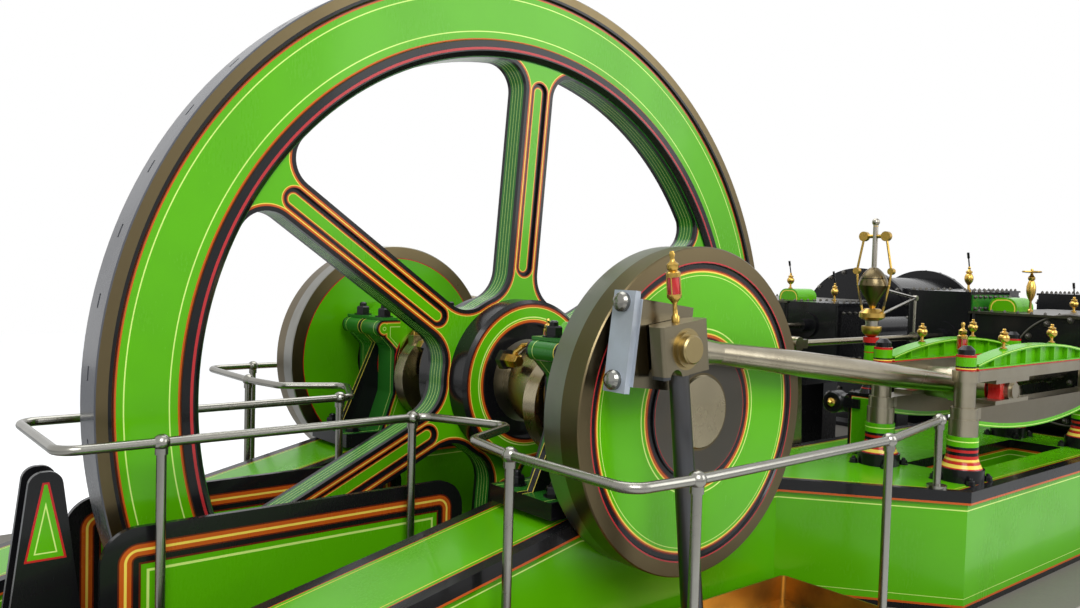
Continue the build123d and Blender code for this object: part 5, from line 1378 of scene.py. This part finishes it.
@dataclass
class Casting:
    """One mesh piece that is put together from turned and cut shapes and rides on a body."""

    name: str
    finish: Finish
    body: str = "engine"
    sharp: float = 38.0
    hoop_steps: int = 56
    hoop_sides: int = 8
    mesh: bmesh.types.BMesh = field(default_factory=bmesh.new)

    def frame_of(self, origin: Vector, direction: Vector) -> Matrix:
        """A frame at a point whose Z axis looks along a direction."""
        turn = UP.rotation_difference(direction.normalized())
        return Matrix.Translation(origin) @ turn.to_matrix().to_4x4()

    def ring(self, points: Sequence[Vector], where: Matrix = Matrix()) -> list:
        """Add a ring of corners, given in a frame."""
        return [self.mesh.verts.new(where @ point) for point in points]

    def bridge(self, low: list, high: list) -> None:
        """Join two rings of as many corners by a band of faces.

        Args:
            low: The first ring.
            high: The second ring.
        """
        for n in range(len(low)):
            m = (n + 1) % len(low)
            self.mesh.faces.new((low[n], low[m], high[m], high[n]))

    def cap(self, rings: Sequence[list]) -> None:
        """Close the first and the last of some rings with a flat face."""
        self.mesh.faces.new(rings[0][::-1])
        self.mesh.faces.new(rings[-1])

    def close(self, rings: Sequence[list]) -> None:
        """Join rings in their order and close the two ends.

        Args:
            rings: The rings of corners.
        """
        for low, high in zip(rings, rings[1:]):
            self.bridge(low, high)
        self.cap(rings)

    def turned(self, origin: Vector, direction: Vector, profile: Sequence[Point],
               sides: int = 20) -> None:
        """Add a shape turned about a direction.

        Args:
            origin: Where the profile's nought stands.
            direction: Which way the axis looks.
            profile: Pairs of radius and height along the axis, from the foot up.
            sides: How many sides the shape has round its axis.
        """
        where = self.frame_of(origin, direction)
        self.close([self.ring(circle(radius, sides, height), where) for radius, height in profile])

    def nut(self, origin: Vector, direction: Vector, across: float) -> None:
        """Add a hexagon nut on a washer, with the stud's rounded end above it.

        Args:
            origin: Where the washer's foot stands.
            direction: Which way the stud looks.
            across: The nut's width across its flats.
        """
        radius = across / math.sqrt(3)
        for sides, shares in NUT_PARTS:
            self.turned(origin, direction, [(radius * reach, across * up) for reach, up in shares],
                        sides)

    def nut_ring(self, centre: Vector, direction: Vector, radius: float, count: int,
                 across: float, start: float = 0.0) -> None:
        """Add nuts evenly round a circle.

        Args:
            centre: The circle's centre.
            direction: Which way the studs look.
            radius: The circle's radius.
            count: How many nuts there are.
            across: Each nut's width across its flats.
            start: Where the first one stands, as a share of a step.
        """
        where = self.frame_of(centre, direction)
        for spot in circle(radius, count, start=start):
            self.nut(where @ spot, direction, across)

    def hoop(self, centre: Vector, direction: Vector, radius: float, thick: float) -> None:
        """Add a closed round hoop about a direction.

        Args:
            centre: The hoop's centre.
            direction: Its axis.
            radius: The radius of its middle line.
            thick: The radius of its wire.
        """
        where = self.frame_of(centre, direction)
        rings = []
        for ray in circle(1.0, self.hoop_steps):
            wire = (ray * (radius + reach) + UP * rise
                    for reach, rise, _ in circle(thick, self.hoop_sides))
            rings.append(self.ring(wire, where))
        for low, high in zip(rings, rings[1:] + rings[:1]):
            self.bridge(low, high)

    def tube(self, points: Sequence[Vector], radius: float, sides: int = 12) -> None:
        """Add a round tube with flat ends.

        Args:
            points: Its middle line.
            radius: Its radius.
            sides: How many sides it has.
        """
        rings = []
        for n, point in enumerate(points):
            ahead = points[min(n + 1, len(points) - 1)] - points[max(n - 1, 0)]
            rings.append(self.ring(circle(radius, sides), self.frame_of(point, ahead)))
        for low, high in zip(rings, rings[1:]):
            turn = min(range(sides), key=lambda k: (low[0].co - high[k].co).length)
            self.bridge(low, high[turn:] + high[:turn])
        self.cap(rings)

    def plate(self, corners: Sequence[Vector], thickness: Vector) -> None:
        """Add a flat plate from its outline and the vector of its thickness."""
        self.close([self.ring(corners), self.ring([corner + thickness for corner in corners])])

    def ribbon(self, outer: Sequence[Vector], inner: Sequence[Vector]) -> None:
        """Add a closed flat ribbon between two outlines of as many points."""
        self.bridge(self.ring(outer), self.ring(inner))

    def cast(self) -> bpy.types.Object:
        """Close the piece into an object that rides on its body.

        Returns:
            The new object.
        """
        bmesh.ops.recalc_face_normals(self.mesh, faces=self.mesh.faces)
        data = bpy.data.meshes.new(self.name)
        self.mesh.to_mesh(data)
        self.mesh.free()
        data.materials.append(self.finish.material())
        for polygon in data.polygons:
            polygon.use_smooth = True
        data.set_sharp_from_angle(angle=math.radians(self.sharp))
        made = bpy.data.objects.new(self.name, data)
        bpy.context.scene.collection.objects.link(made)
        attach(made, self.body)
        LOG.info("%s: %d faces", self.name, len(data.polygons))
        return made


@dataclass(frozen=True)
class Cover:
    """The nuts on a cylinder's two covers and on the gland of its head."""

    head_x: float
    foot_x: float
    radius: float
    count: int
    head_nut: float
    foot_nut: float
    gland_reach: float = 0.132
    gland_radius: float = 0.086
    gland_nut: float = 0.026

    def add(self, nuts: Casting, line: Line) -> None:
        """Add the cylinder's nuts.

        Args:
            nuts: The piece of the nuts.
            line: The line that the cylinder stands on.
        """
        head, foot, gland = (line.at(x, ROD_Y, 0.0) for x in (
            self.head_x, self.foot_x, self.head_x - self.gland_reach))
        nuts.nut_ring(head, HEAD, self.radius, self.count, self.head_nut)
        nuts.nut_ring(foot, FOOT, self.radius, self.count, self.foot_nut)
        nuts.nut_ring(gland, HEAD, self.gland_radius, 4, self.gland_nut, 0.5)


@dataclass
class CylinderBolts:
    """Nuts on the cylinder covers, stuffing boxes, receiver, chests and casing of one line."""

    line: Line
    high: Cover = Cover(3.442, 4.768, 0.322, 14, 0.030, 0.036)
    low: Cover = Cover(5.522, 6.878, 0.614, 24, 0.036, 0.042)
    hoop_radius: float = 0.352
    hoop_thick: float = 0.008
    receiver: tuple = ((4.08, FOOT), (5.55, HEAD))
    receiver_y: float = 0.56
    receiver_z: float = 0.10
    receiver_radius: float = 0.138
    receiver_nut: float = 0.028
    panel_y: float = 0.738
    panel_ends: tuple = (3.466, 4.034)
    panel_levels: tuple = (0.347, 0.455)
    panel_rows: tuple = (0.362, 0.440)
    row_ends: tuple = (3.485, 4.015)
    panel_thick: float = 0.012

    def build(self) -> None:
        """Make the nuts of the line's steam end."""
        nuts = Casting(f"cover_nuts_{self.line.name}", NUT_STEEL)
        for cover in (self.high, self.low):
            cover.add(nuts, self.line)
        nuts.hoop(self.line.at(self.high.head_x, ROD_Y, 0.0), HEAD, self.hoop_radius,
                  self.hoop_thick)
        for x, direction in self.receiver:
            nuts.nut_ring(self.line.at(x, self.receiver_y, self.receiver_z), direction,
                          self.receiver_radius, 8, self.receiver_nut, 0.5)
        nuts.cast()
        bolts = Casting(f"lid_bolts_{self.line.name}", NUT_STEEL)
        self.edge_bolts(bolts)
        if self.line.near:
            self.side_panel(bolts)
        bolts.cast()

    def row(self, piece: Casting, start: Point, end: Point, direction: Vector, count: int,
            across: float) -> None:
        """Add nuts evenly between two points.

        Args:
            piece: The piece of the nuts.
            start: The first point, in the line's measures.
            end: The last point.
            direction: Which way the studs look.
            count: How many nuts there are.
            across: Each nut's width across its flats.
        """
        for n in range(count):
            spot = [a + (b - a) * n / (count - 1) for a, b in zip(start, end)]
            piece.nut(self.line.at(*spot), direction, across)

    def edge_bolts(self, bolts: Casting) -> None:
        """Add the bolts along the lids and panels of the chests and the casing.

        Args:
            bolts: The piece of the bolts.
        """
        inward = -self.line.outward
        chest_top = 0.475 if self.line.near else HOOD_BASE
        for start, end, direction, count, across in (
                ((3.48, 0.31, chest_top), (4.02, 0.31, chest_top), UP, 7, 0.018),
                ((3.48, 0.70, chest_top), (4.02, 0.70, chest_top), UP, 7, 0.018),
                ((3.50, 0.27, 0.27), (4.00, 0.27, 0.27), inward, 7, 0.020),
                ((3.50, 0.27, -0.09), (4.00, 0.27, -0.09), inward, 7, 0.020),
                ((5.62, 0.34, 0.455), (6.68, 0.34, 0.455), UP, 12, 0.020),
                ((5.65, 0.30, 0.37), (6.66, 0.30, 0.37), inward, 11, 0.024),
                ((3.452, 0.80, HOOD_BASE), (3.452, 1.74, HOOD_BASE), UP, 12, 0.016),
                ((3.50, 1.772, HOOD_BASE), (4.72, 1.772, HOOD_BASE), UP, 14, 0.016)):
            self.row(bolts, start, end, direction, count, across)

    def side_panel(self, bolts: Casting) -> None:
        """Make the dark panel on the high chest's side, and add its bolts.

        Args:
            bolts: The piece of the bolts.
        """
        (first, last), (foot, top) = self.panel_ends, self.panel_levels
        panel = Casting("chest_side_near", DARK_PANEL)
        panel.plate([self.line.at(x, self.panel_y, z) for x, z in (
            (first, foot), (last, foot), (last, top), (first, top))],
            self.line.outward * self.panel_thick)
        panel.cast()
        face = self.panel_y + self.panel_thick
        for z in self.panel_rows:
            start, end = ((x, face, z) for x in self.row_ends)
            self.row(bolts, start, end, self.line.outward, 8, 0.020)


@dataclass
class OilCup:
    """Measures of one oil cup: a sight cup with oil in glass, or a brass bulb with its lever."""

    foot: Vector
    height: float
    radius: float
    lean: float = 0.0
    bulb: bool = False
    lever: bool = False
    pillars: int = 4
    lever_foot: float = 0.97
    lever_reach: tuple = (-0.018, 0.0, 0.065)
    lever_radius: float = 0.005
    grip_share: float = 0.6
    grip_radius: float = 0.009
    bulb_shares: tuple = (
        (0.6, 0.0), (0.6, 0.06), (0.3, 0.09), (0.26, 0.26), (0.50, 0.31), (0.86, 0.40),
        (1.0, 0.50), (0.98, 0.60), (0.70, 0.70), (0.52, 0.73), (0.74, 0.76), (0.74, 0.81),
        (0.40, 0.85), (0.24, 0.90), (0.34, 0.95), (0.22, 1.0))
    stem_shares: tuple = (
        (0.55, 0.0), (0.55, 0.08), (0.34, 0.11), (0.30, 0.26), (0.62, 0.31), (0.96, 0.35),
        (1.0, 0.40))
    glass_shares: tuple = ((0.80, 0.40), (0.84, 0.50), (0.80, 0.64))
    lid_shares: tuple = (
        (0.98, 0.64), (1.0, 0.70), (0.62, 0.73), (0.80, 0.76), (0.80, 0.82), (0.36, 0.86),
        (0.28, 0.90), (0.42, 0.95), (0.28, 1.0))

    @property
    def axis(self) -> Vector:
        """The way the cup looks."""
        return Matrix.Rotation(self.lean, 3, "Y") @ UP

    def add(self, brass: Casting, oil: Casting, dark: Casting) -> None:
        """Add the cup to its pieces.

        Args:
            brass: The piece of the cups' metal.
            oil: The piece of the oil.
            dark: The piece of the levers.
        """
        if self.bulb:
            self.turn(brass, self.bulb_shares, 20)
        else:
            self.add_sight(brass, oil)
        if self.lever:
            neck = self.foot + self.axis * self.height * self.lever_foot
            tip = neck + Vector(self.lever_reach)
            dark.tube([neck, tip], self.lever_radius, 8)
            dark.tube([tip, tip + (tip - neck) * self.grip_share], self.grip_radius, 8)

    def turn(self, piece: Casting, shares: Sequence[Point], sides: int) -> None:
        """Add a turned part of the cup.

        Args:
            piece: The piece that the part belongs to.
            shares: Pairs of radius and height, as shares of the cup's own.
            sides: How many sides the part has.
        """
        piece.turned(self.foot, self.axis,
                     [(self.radius * reach, self.height * up) for reach, up in shares], sides)

    def add_sight(self, brass: Casting, oil: Casting) -> None:
        """Add a cup of oil held between a brass foot and a brass lid by pillars.

        Args:
            brass: The piece of the cups' metal.
            oil: The piece of the oil.
        """
        for piece, shares in ((brass, self.stem_shares), (oil, self.glass_shares),
                              (brass, self.lid_shares)):
            self.turn(piece, shares, 18)
        for side in circle(self.radius * 0.93, self.pillars, start=0.25):
            base = self.foot + self.axis * (self.height * 0.38) + side
            brass.tube([base, base + self.axis * (self.height * 0.28)], self.radius * 0.09, 6)


@dataclass
class OilCups:
    """The oil cups of one line, in place of the source's plain ones."""

    line: Line
    lever_pivot: tuple = (0.62, -1.5)
    lever_arm: float = 0.84
    pump_rod: float = 1.55
    rod_block: float = 0.0942
    rod_y: float = 1.504
    bar_places: tuple = (2.0, 2.595)
    bar_pad: float = 0.004
    bar_cup: tuple = (0.104, 0.028)
    cross_top: float = 0.0923
    cross_cup: tuple = (0.24, 0.027)
    crank_cups: tuple = (0.255, 0.15)
    cap_place: tuple = (-0.199, 0.56, 0.175)
    cap_cup: tuple = (0.16, 0.021)
    bulb_radius: float = 0.03
    casing_near: tuple = (
        (3.67, 1.043, HOOD_BASE, 0.30), (3.60, 0.65, 0.475, 0.175), (4.34, 1.07, HOOD_BASE, 0.11))
    casing_far: tuple = ((3.66, 0.875, 0.441, 0.13), (4.0, 0.671, HOOD_BASE, 0.15))
    valve_height: float = 0.29
    wheel: tuple = ((0.012, 0.0), (0.058, 0.004), (0.062, 0.010), (0.058, 0.016), (0.012, 0.012))

    def pump_lean(self) -> float:
        """Work out how far the pump rod leans from upright.

        Returns:
            The lean in radians.
        """
        px, pz = self.line.pin
        dx, dz = self.lever_pivot[0] - px, self.lever_pivot[1] - pz
        reach = math.hypot(dx, dz)
        along = (self.pump_rod ** 2 - self.lever_arm ** 2 + reach ** 2) / (2 * reach)
        across = math.sqrt(self.pump_rod ** 2 - along ** 2)
        down_x = (dx * along + dz * across) / reach
        down_z = (dz * along - dx * across) / reach
        return math.atan2(down_x, -down_z)

    def crank_cup(self) -> OilCup:
        """The cup on the pump rod's block at the crank pin.

        Returns:
            The cup.
        """
        (px, pz), lean = self.line.pin, self.pump_lean()
        top = self.line.at(px - self.rod_block * math.sin(lean), self.rod_y,
                           pz + self.rod_block * math.cos(lean))
        height = self.crank_cups[0 if self.line.near else 1]
        return OilCup(top, height, self.cross_cup[1], -lean)

    def casing_cups(self, brass: Casting) -> list:
        """The cups and stop valves on the chest and the casing; the valves get hand wheels.

        Args:
            brass: The piece of the cups' metal.

        Returns:
            The cups.
        """
        cups = []
        for x, y, z, height in (self.casing_near if self.line.near else self.casing_far):
            valve = height > self.valve_height
            cups.append(OilCup(self.line.at(x, y, z), height, self.bulb_radius, bulb=True,
                               lever=not valve))
            if valve:
                brass.turned(self.line.at(x, y, z + height * 0.9), UP, self.wheel, 24)
        return cups

    def build(self) -> None:
        """Make the line's cups and let them stand for the plain ones."""
        brass = Casting(f"cups_{self.line.name}", BRASS)
        oil = Casting(f"cup_oil_{self.line.name}", OIL)
        dark = Casting(f"cup_levers_{self.line.name}", BLACK)
        cups = [OilCup(self.line.at(x, y, UPPER_BOW.height(x) + self.bar_pad), *self.bar_cup,
                       bulb=True) for x in self.bar_places for y in BAR_PLANES]
        cups.append(OilCup(self.line.at(self.line.cross_x, ROD_Y, self.cross_top),
                           *self.cross_cup))
        cups.append(self.crank_cup())
        cups.append(OilCup(self.line.at(*self.cap_place), *self.cap_cup))
        for cup in cups + self.casing_cups(brass):
            cup.add(brass, oil, dark)
        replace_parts(brass.cast(), f"oil_cups_{self.line.name}")
        oil.cast()
        dark.cast()


@dataclass
class BearingFittings:
    """Nuts, pipes and foot bolts of one main bearing."""

    line: Line
    bolt_planes: tuple = (0.72, 0.96)
    bolts: tuple = ((0.300, 0.267, 0.068), (0.48, -0.35, 0.06))
    pipe: tuple = (
        (-0.199, 0.545, 0.20), (-0.200, 0.50, 0.212), (-0.206, 0.45, 0.214),
        (-0.222, 0.41, 0.200), (-0.240, 0.385, 0.17), (-0.250, 0.375, 0.13))
    pipe_radius: float = 0.013
    block: tuple = (-0.250, 0.34, 0.13)
    union: tuple = ((0.034, 0.0), (0.034, 0.07), (0.026, 0.085))
    back: tuple = ((0.05, 0.0), (0.05, 0.034))
    back_reach: float = 0.035

    def build(self) -> None:
        """Make the bearing's fittings."""
        nuts = Casting(f"bearing_nuts_{self.line.name}", BLACK)
        for half, z, across in self.bolts:
            for x in (-half, half):
                for y in self.bolt_planes:
                    nuts.nut(self.line.at(x, y, z), UP, across)
        nuts.cast()
        pipe = Casting(f"drip_pipe_{self.line.name}", BRASS)
        pipe.tube([self.line.at(*spot) for spot in self.pipe], self.pipe_radius)
        block, out = self.line.at(*self.block), self.line.outward
        pipe.turned(block, out, self.union, 6)
        pipe.cast()
        back = Casting(f"drip_block_{self.line.name}", BLACK)
        back.turned(block - out * self.back_reach, out, self.back, 6)
        back.cast()


@dataclass
class GovernorDrive:
    """The end cap of the bevel box beside the governor."""

    drive: tuple = (1.692, 0.845, -0.14)
    cap: tuple = ((0.062, -0.03), (0.062, 0.040), (0.054, 0.050), (0.040, 0.050), (0.036, 0.042))
    boss: tuple = ((0.024, 0.042), (0.024, 0.056), (0.014, 0.062), (0.014, 0.074), (0.006, 0.084))

    def build(self) -> None:
        """Make the drive's cap and its brass centre."""
        for name, finish, profile, sides in (("cap", BLACK, self.cap, 28),
                                             ("boss", BRASS, self.boss, 18)):
            piece = Casting(f"governor_drive_{name}", finish)
            piece.turned(NEAR.at(*self.drive), HEAD, profile, sides)
            piece.cast()


@dataclass
class HoodLining:
    """The lined ends of one line's hood."""

    line: Line
    ends: tuple = ((3.640, -0.0006), (3.900, 0.0006))
    middle: float = 0.875
    half: float = 0.095
    foot: float = 0.004
    round_z: float = 0.026
    corner: float = 0.07
    shares: tuple = (0.88, 0.80)

    def build(self) -> None:
        """Make a ribbon of lining on each end."""
        lining = Casting(f"hood_lining_{self.line.name}", HOOD_LINE)
        for x, shift in self.ends:
            lining.ribbon(*([self.line.at(x + shift, self.middle + y * share, HOOD_BASE + z * share)
                             for y, z in self.outline()] for share in self.shares))
        lining.cast()

    def outline(self) -> list:
        """Draw the round-topped outline of a hood's end.

        Returns:
            Its points, as y and z from the middle of its foot.
        """
        points = [(-self.half, self.foot), (-self.half, self.round_z)]
        for degrees in range(180, -1, -15):
            turn = math.radians(degrees)
            side = (self.half - self.corner) * (-1 if degrees > 90 else 1)
            points.append((side + self.corner * math.cos(turn),
                           self.round_z + self.corner * math.sin(turn)))
        return points + [(self.half, self.foot)]


@dataclass
class PostBolts:
    """The foot bolts of the guide posts of one line."""

    line: Line
    radius: float = 0.128
    across: float = 0.034

    def build(self) -> None:
        """Make four nuts round each post's foot."""
        nuts = Casting(f"post_nuts_{self.line.name}", BLACK)
        for x in POST_PLACES:
            for y in BAR_PLANES:
                nuts.nut_ring(self.line.at(x, y, BED_TOP), UP, self.radius, 4, self.across, 0.5)
        nuts.cast()


@dataclass
class BarBellies:
    """The smooth bellies of one line's lower slide bars."""

    line: Line
    bow: Bow = LOWER_BOW
    reach: float = 0.70
    top: float = -0.130
    tuck: float = 0.012
    half_width: float = 0.040
    steps: int = 28

    def build(self) -> None:
        """Make one bowed block under each lower bar."""
        piece = Casting(f"bar_bellies_{self.line.name}", BAR)
        middle = self.bow.middle_x
        outline = [(middle + self.reach, self.top), (middle - self.reach, self.top)]
        for n in range(self.steps + 1):
            x = middle + self.reach * (2 * n / self.steps - 1)
            outline.append((x, self.tuck - self.bow.height(x)))
        for y in BAR_PLANES:
            piece.plate([self.line.at(x, y - self.half_width, z) for x, z in outline],
                        self.line.outward * (2 * self.half_width))
        piece.cast()


@dataclass
class Studio:
    """The floor, the lamps, the world and the camera."""

    floor_half: float = 30.0
    floor_colour: tuple = (0.82, 0.82, 0.81)
    floor_glow: float = 0.57
    sky: tuple = (0.92, 0.95, 1.0)
    sky_strength: float = 0.5
    white: tuple = (1.0, 1.0, 1.0)
    lens: float = 30.58
    yaw: float = 39.626
    pitch: float = -2.359
    roll: float = 1.592
    place: tuple = (-5.151, -3.715, 2.670)
    lamps: tuple = (
        ("key_lamp", (-6.0, -7.0, 8.0), (-1.5, -0.5, 1.8), 640.0, 5.0),
        ("fill_lamp", (4.0, -8.0, 6.0), (0.5, -0.5, 1.8), 340.0, 6.0),
        ("top_lamp", (0.0, 2.0, 9.0), (0.0, 0.0, 1.5), 420.0, 7.0))

    def floor(self) -> None:
        """Lay a plain pale floor that shows white to the camera away from the shadow."""
        half = self.floor_half
        data = bpy.data.meshes.new("studio_floor")
        data.from_pydata([(-half, -half, 0), (half, -half, 0), (half, half, 0), (-half, half, 0)],
                         [], [(0, 1, 2, 3)])
        made = bpy.data.objects.new("studio_floor", data)
        bpy.context.scene.collection.objects.link(made)
        material = bpy.data.materials.new("studio_floor_pale")
        material.use_nodes = True
        graph = Graph(material.node_tree)
        shader = material.node_tree.nodes["Principled BSDF"].inputs
        graph.feed(shader["Base Color"], self.floor_colour)
        graph.feed(shader["Roughness"], 0.9)
        graph.feed(shader["Emission Color"], self.white)
        seen = Signal(graph, graph.node("ShaderNodeLightPath").outputs["Is Camera Ray"])
        graph.feed(shader["Emission Strength"], seen * self.floor_glow)
        data.materials.append(material)

    def lamp(self, name: str, spot: Point, aim: Point, power: float, size: float) -> None:
        """Hang one soft square lamp.

        Args:
            name: The lamp's name.
            spot: Where it hangs.
            aim: The point it looks at.
            power: Its power in watts.
            size: The length of its side.
        """
        data = bpy.data.lights.new(name, "AREA")
        data.energy = power
        data.size = size
        made = bpy.data.objects.new(name, data)
        made.location = spot
        made.rotation_euler = (Vector(aim) - Vector(spot)).to_track_quat("-Z", "Y").to_euler()
        bpy.context.scene.collection.objects.link(made)

    def world(self) -> None:
        """Make a pale even sky that is white to the camera, in gloss and through glass."""
        world = bpy.data.worlds.new("studio_world")
        bpy.context.scene.world = world
        world.use_nodes = True
        graph = Graph(world.node_tree)
        back = world.node_tree.nodes["Background"].inputs
        path = graph.node("ShaderNodeLightPath").outputs
        seen = graph.most(*(Signal(graph, path[name]) for name in (
            "Is Camera Ray", "Is Glossy Ray", "Is Transmission Ray")))
        graph.feed(back["Color"], graph.mix(seen, self.sky, self.white))
        graph.feed(back["Strength"], graph.blend(seen, self.sky_strength, 1.0))

    def camera(self) -> None:
        """Stand the camera where the photograph was taken."""
        yaw, pitch, roll = (math.radians(a) for a in (self.yaw, self.pitch, self.roll))
        level = Vector((math.sin(yaw), math.cos(yaw), 0))
        ahead = level * math.cos(pitch) + UP * math.sin(pitch)
        right = Vector((math.cos(yaw), -math.sin(yaw), 0))
        above = right.cross(ahead)
        side = math.cos(roll) * right + math.sin(roll) * above
        top = -math.sin(roll) * right + math.cos(roll) * above
        data = bpy.data.cameras.new("photo_camera")
        data.lens = self.lens
        data.sensor_width = 36.0
        data.clip_end = 200.0
        made = bpy.data.objects.new("photo_camera", data)
        turn = Matrix((side, top, -ahead)).transposed().to_4x4()
        made.matrix_world = Matrix.Translation(self.place) @ turn
        bpy.context.scene.collection.objects.link(made)
        bpy.context.scene.camera = made

    def build(self) -> None:
        """Set the whole studio up."""
        self.floor()
        self.world()
        for lamp in self.lamps:
            self.lamp(*lamp)
        self.camera()
        bpy.context.scene.view_settings.view_transform = "Standard"


def main() -> None:
    """Dress the engine, add its fittings and set up the studio."""
    logging.basicConfig(level=logging.INFO, format="%(message)s")
    NodeDresser().dress()
    for line in LINES:
        for kind in (CylinderBolts, OilCups, BearingFittings, PostBolts, BarBellies):
            kind(line).build()
    GovernorDrive().build()
    for line in LINES:
        HoodLining(line).build()
    Studio().build()


if __name__ == "__main__":
    main()
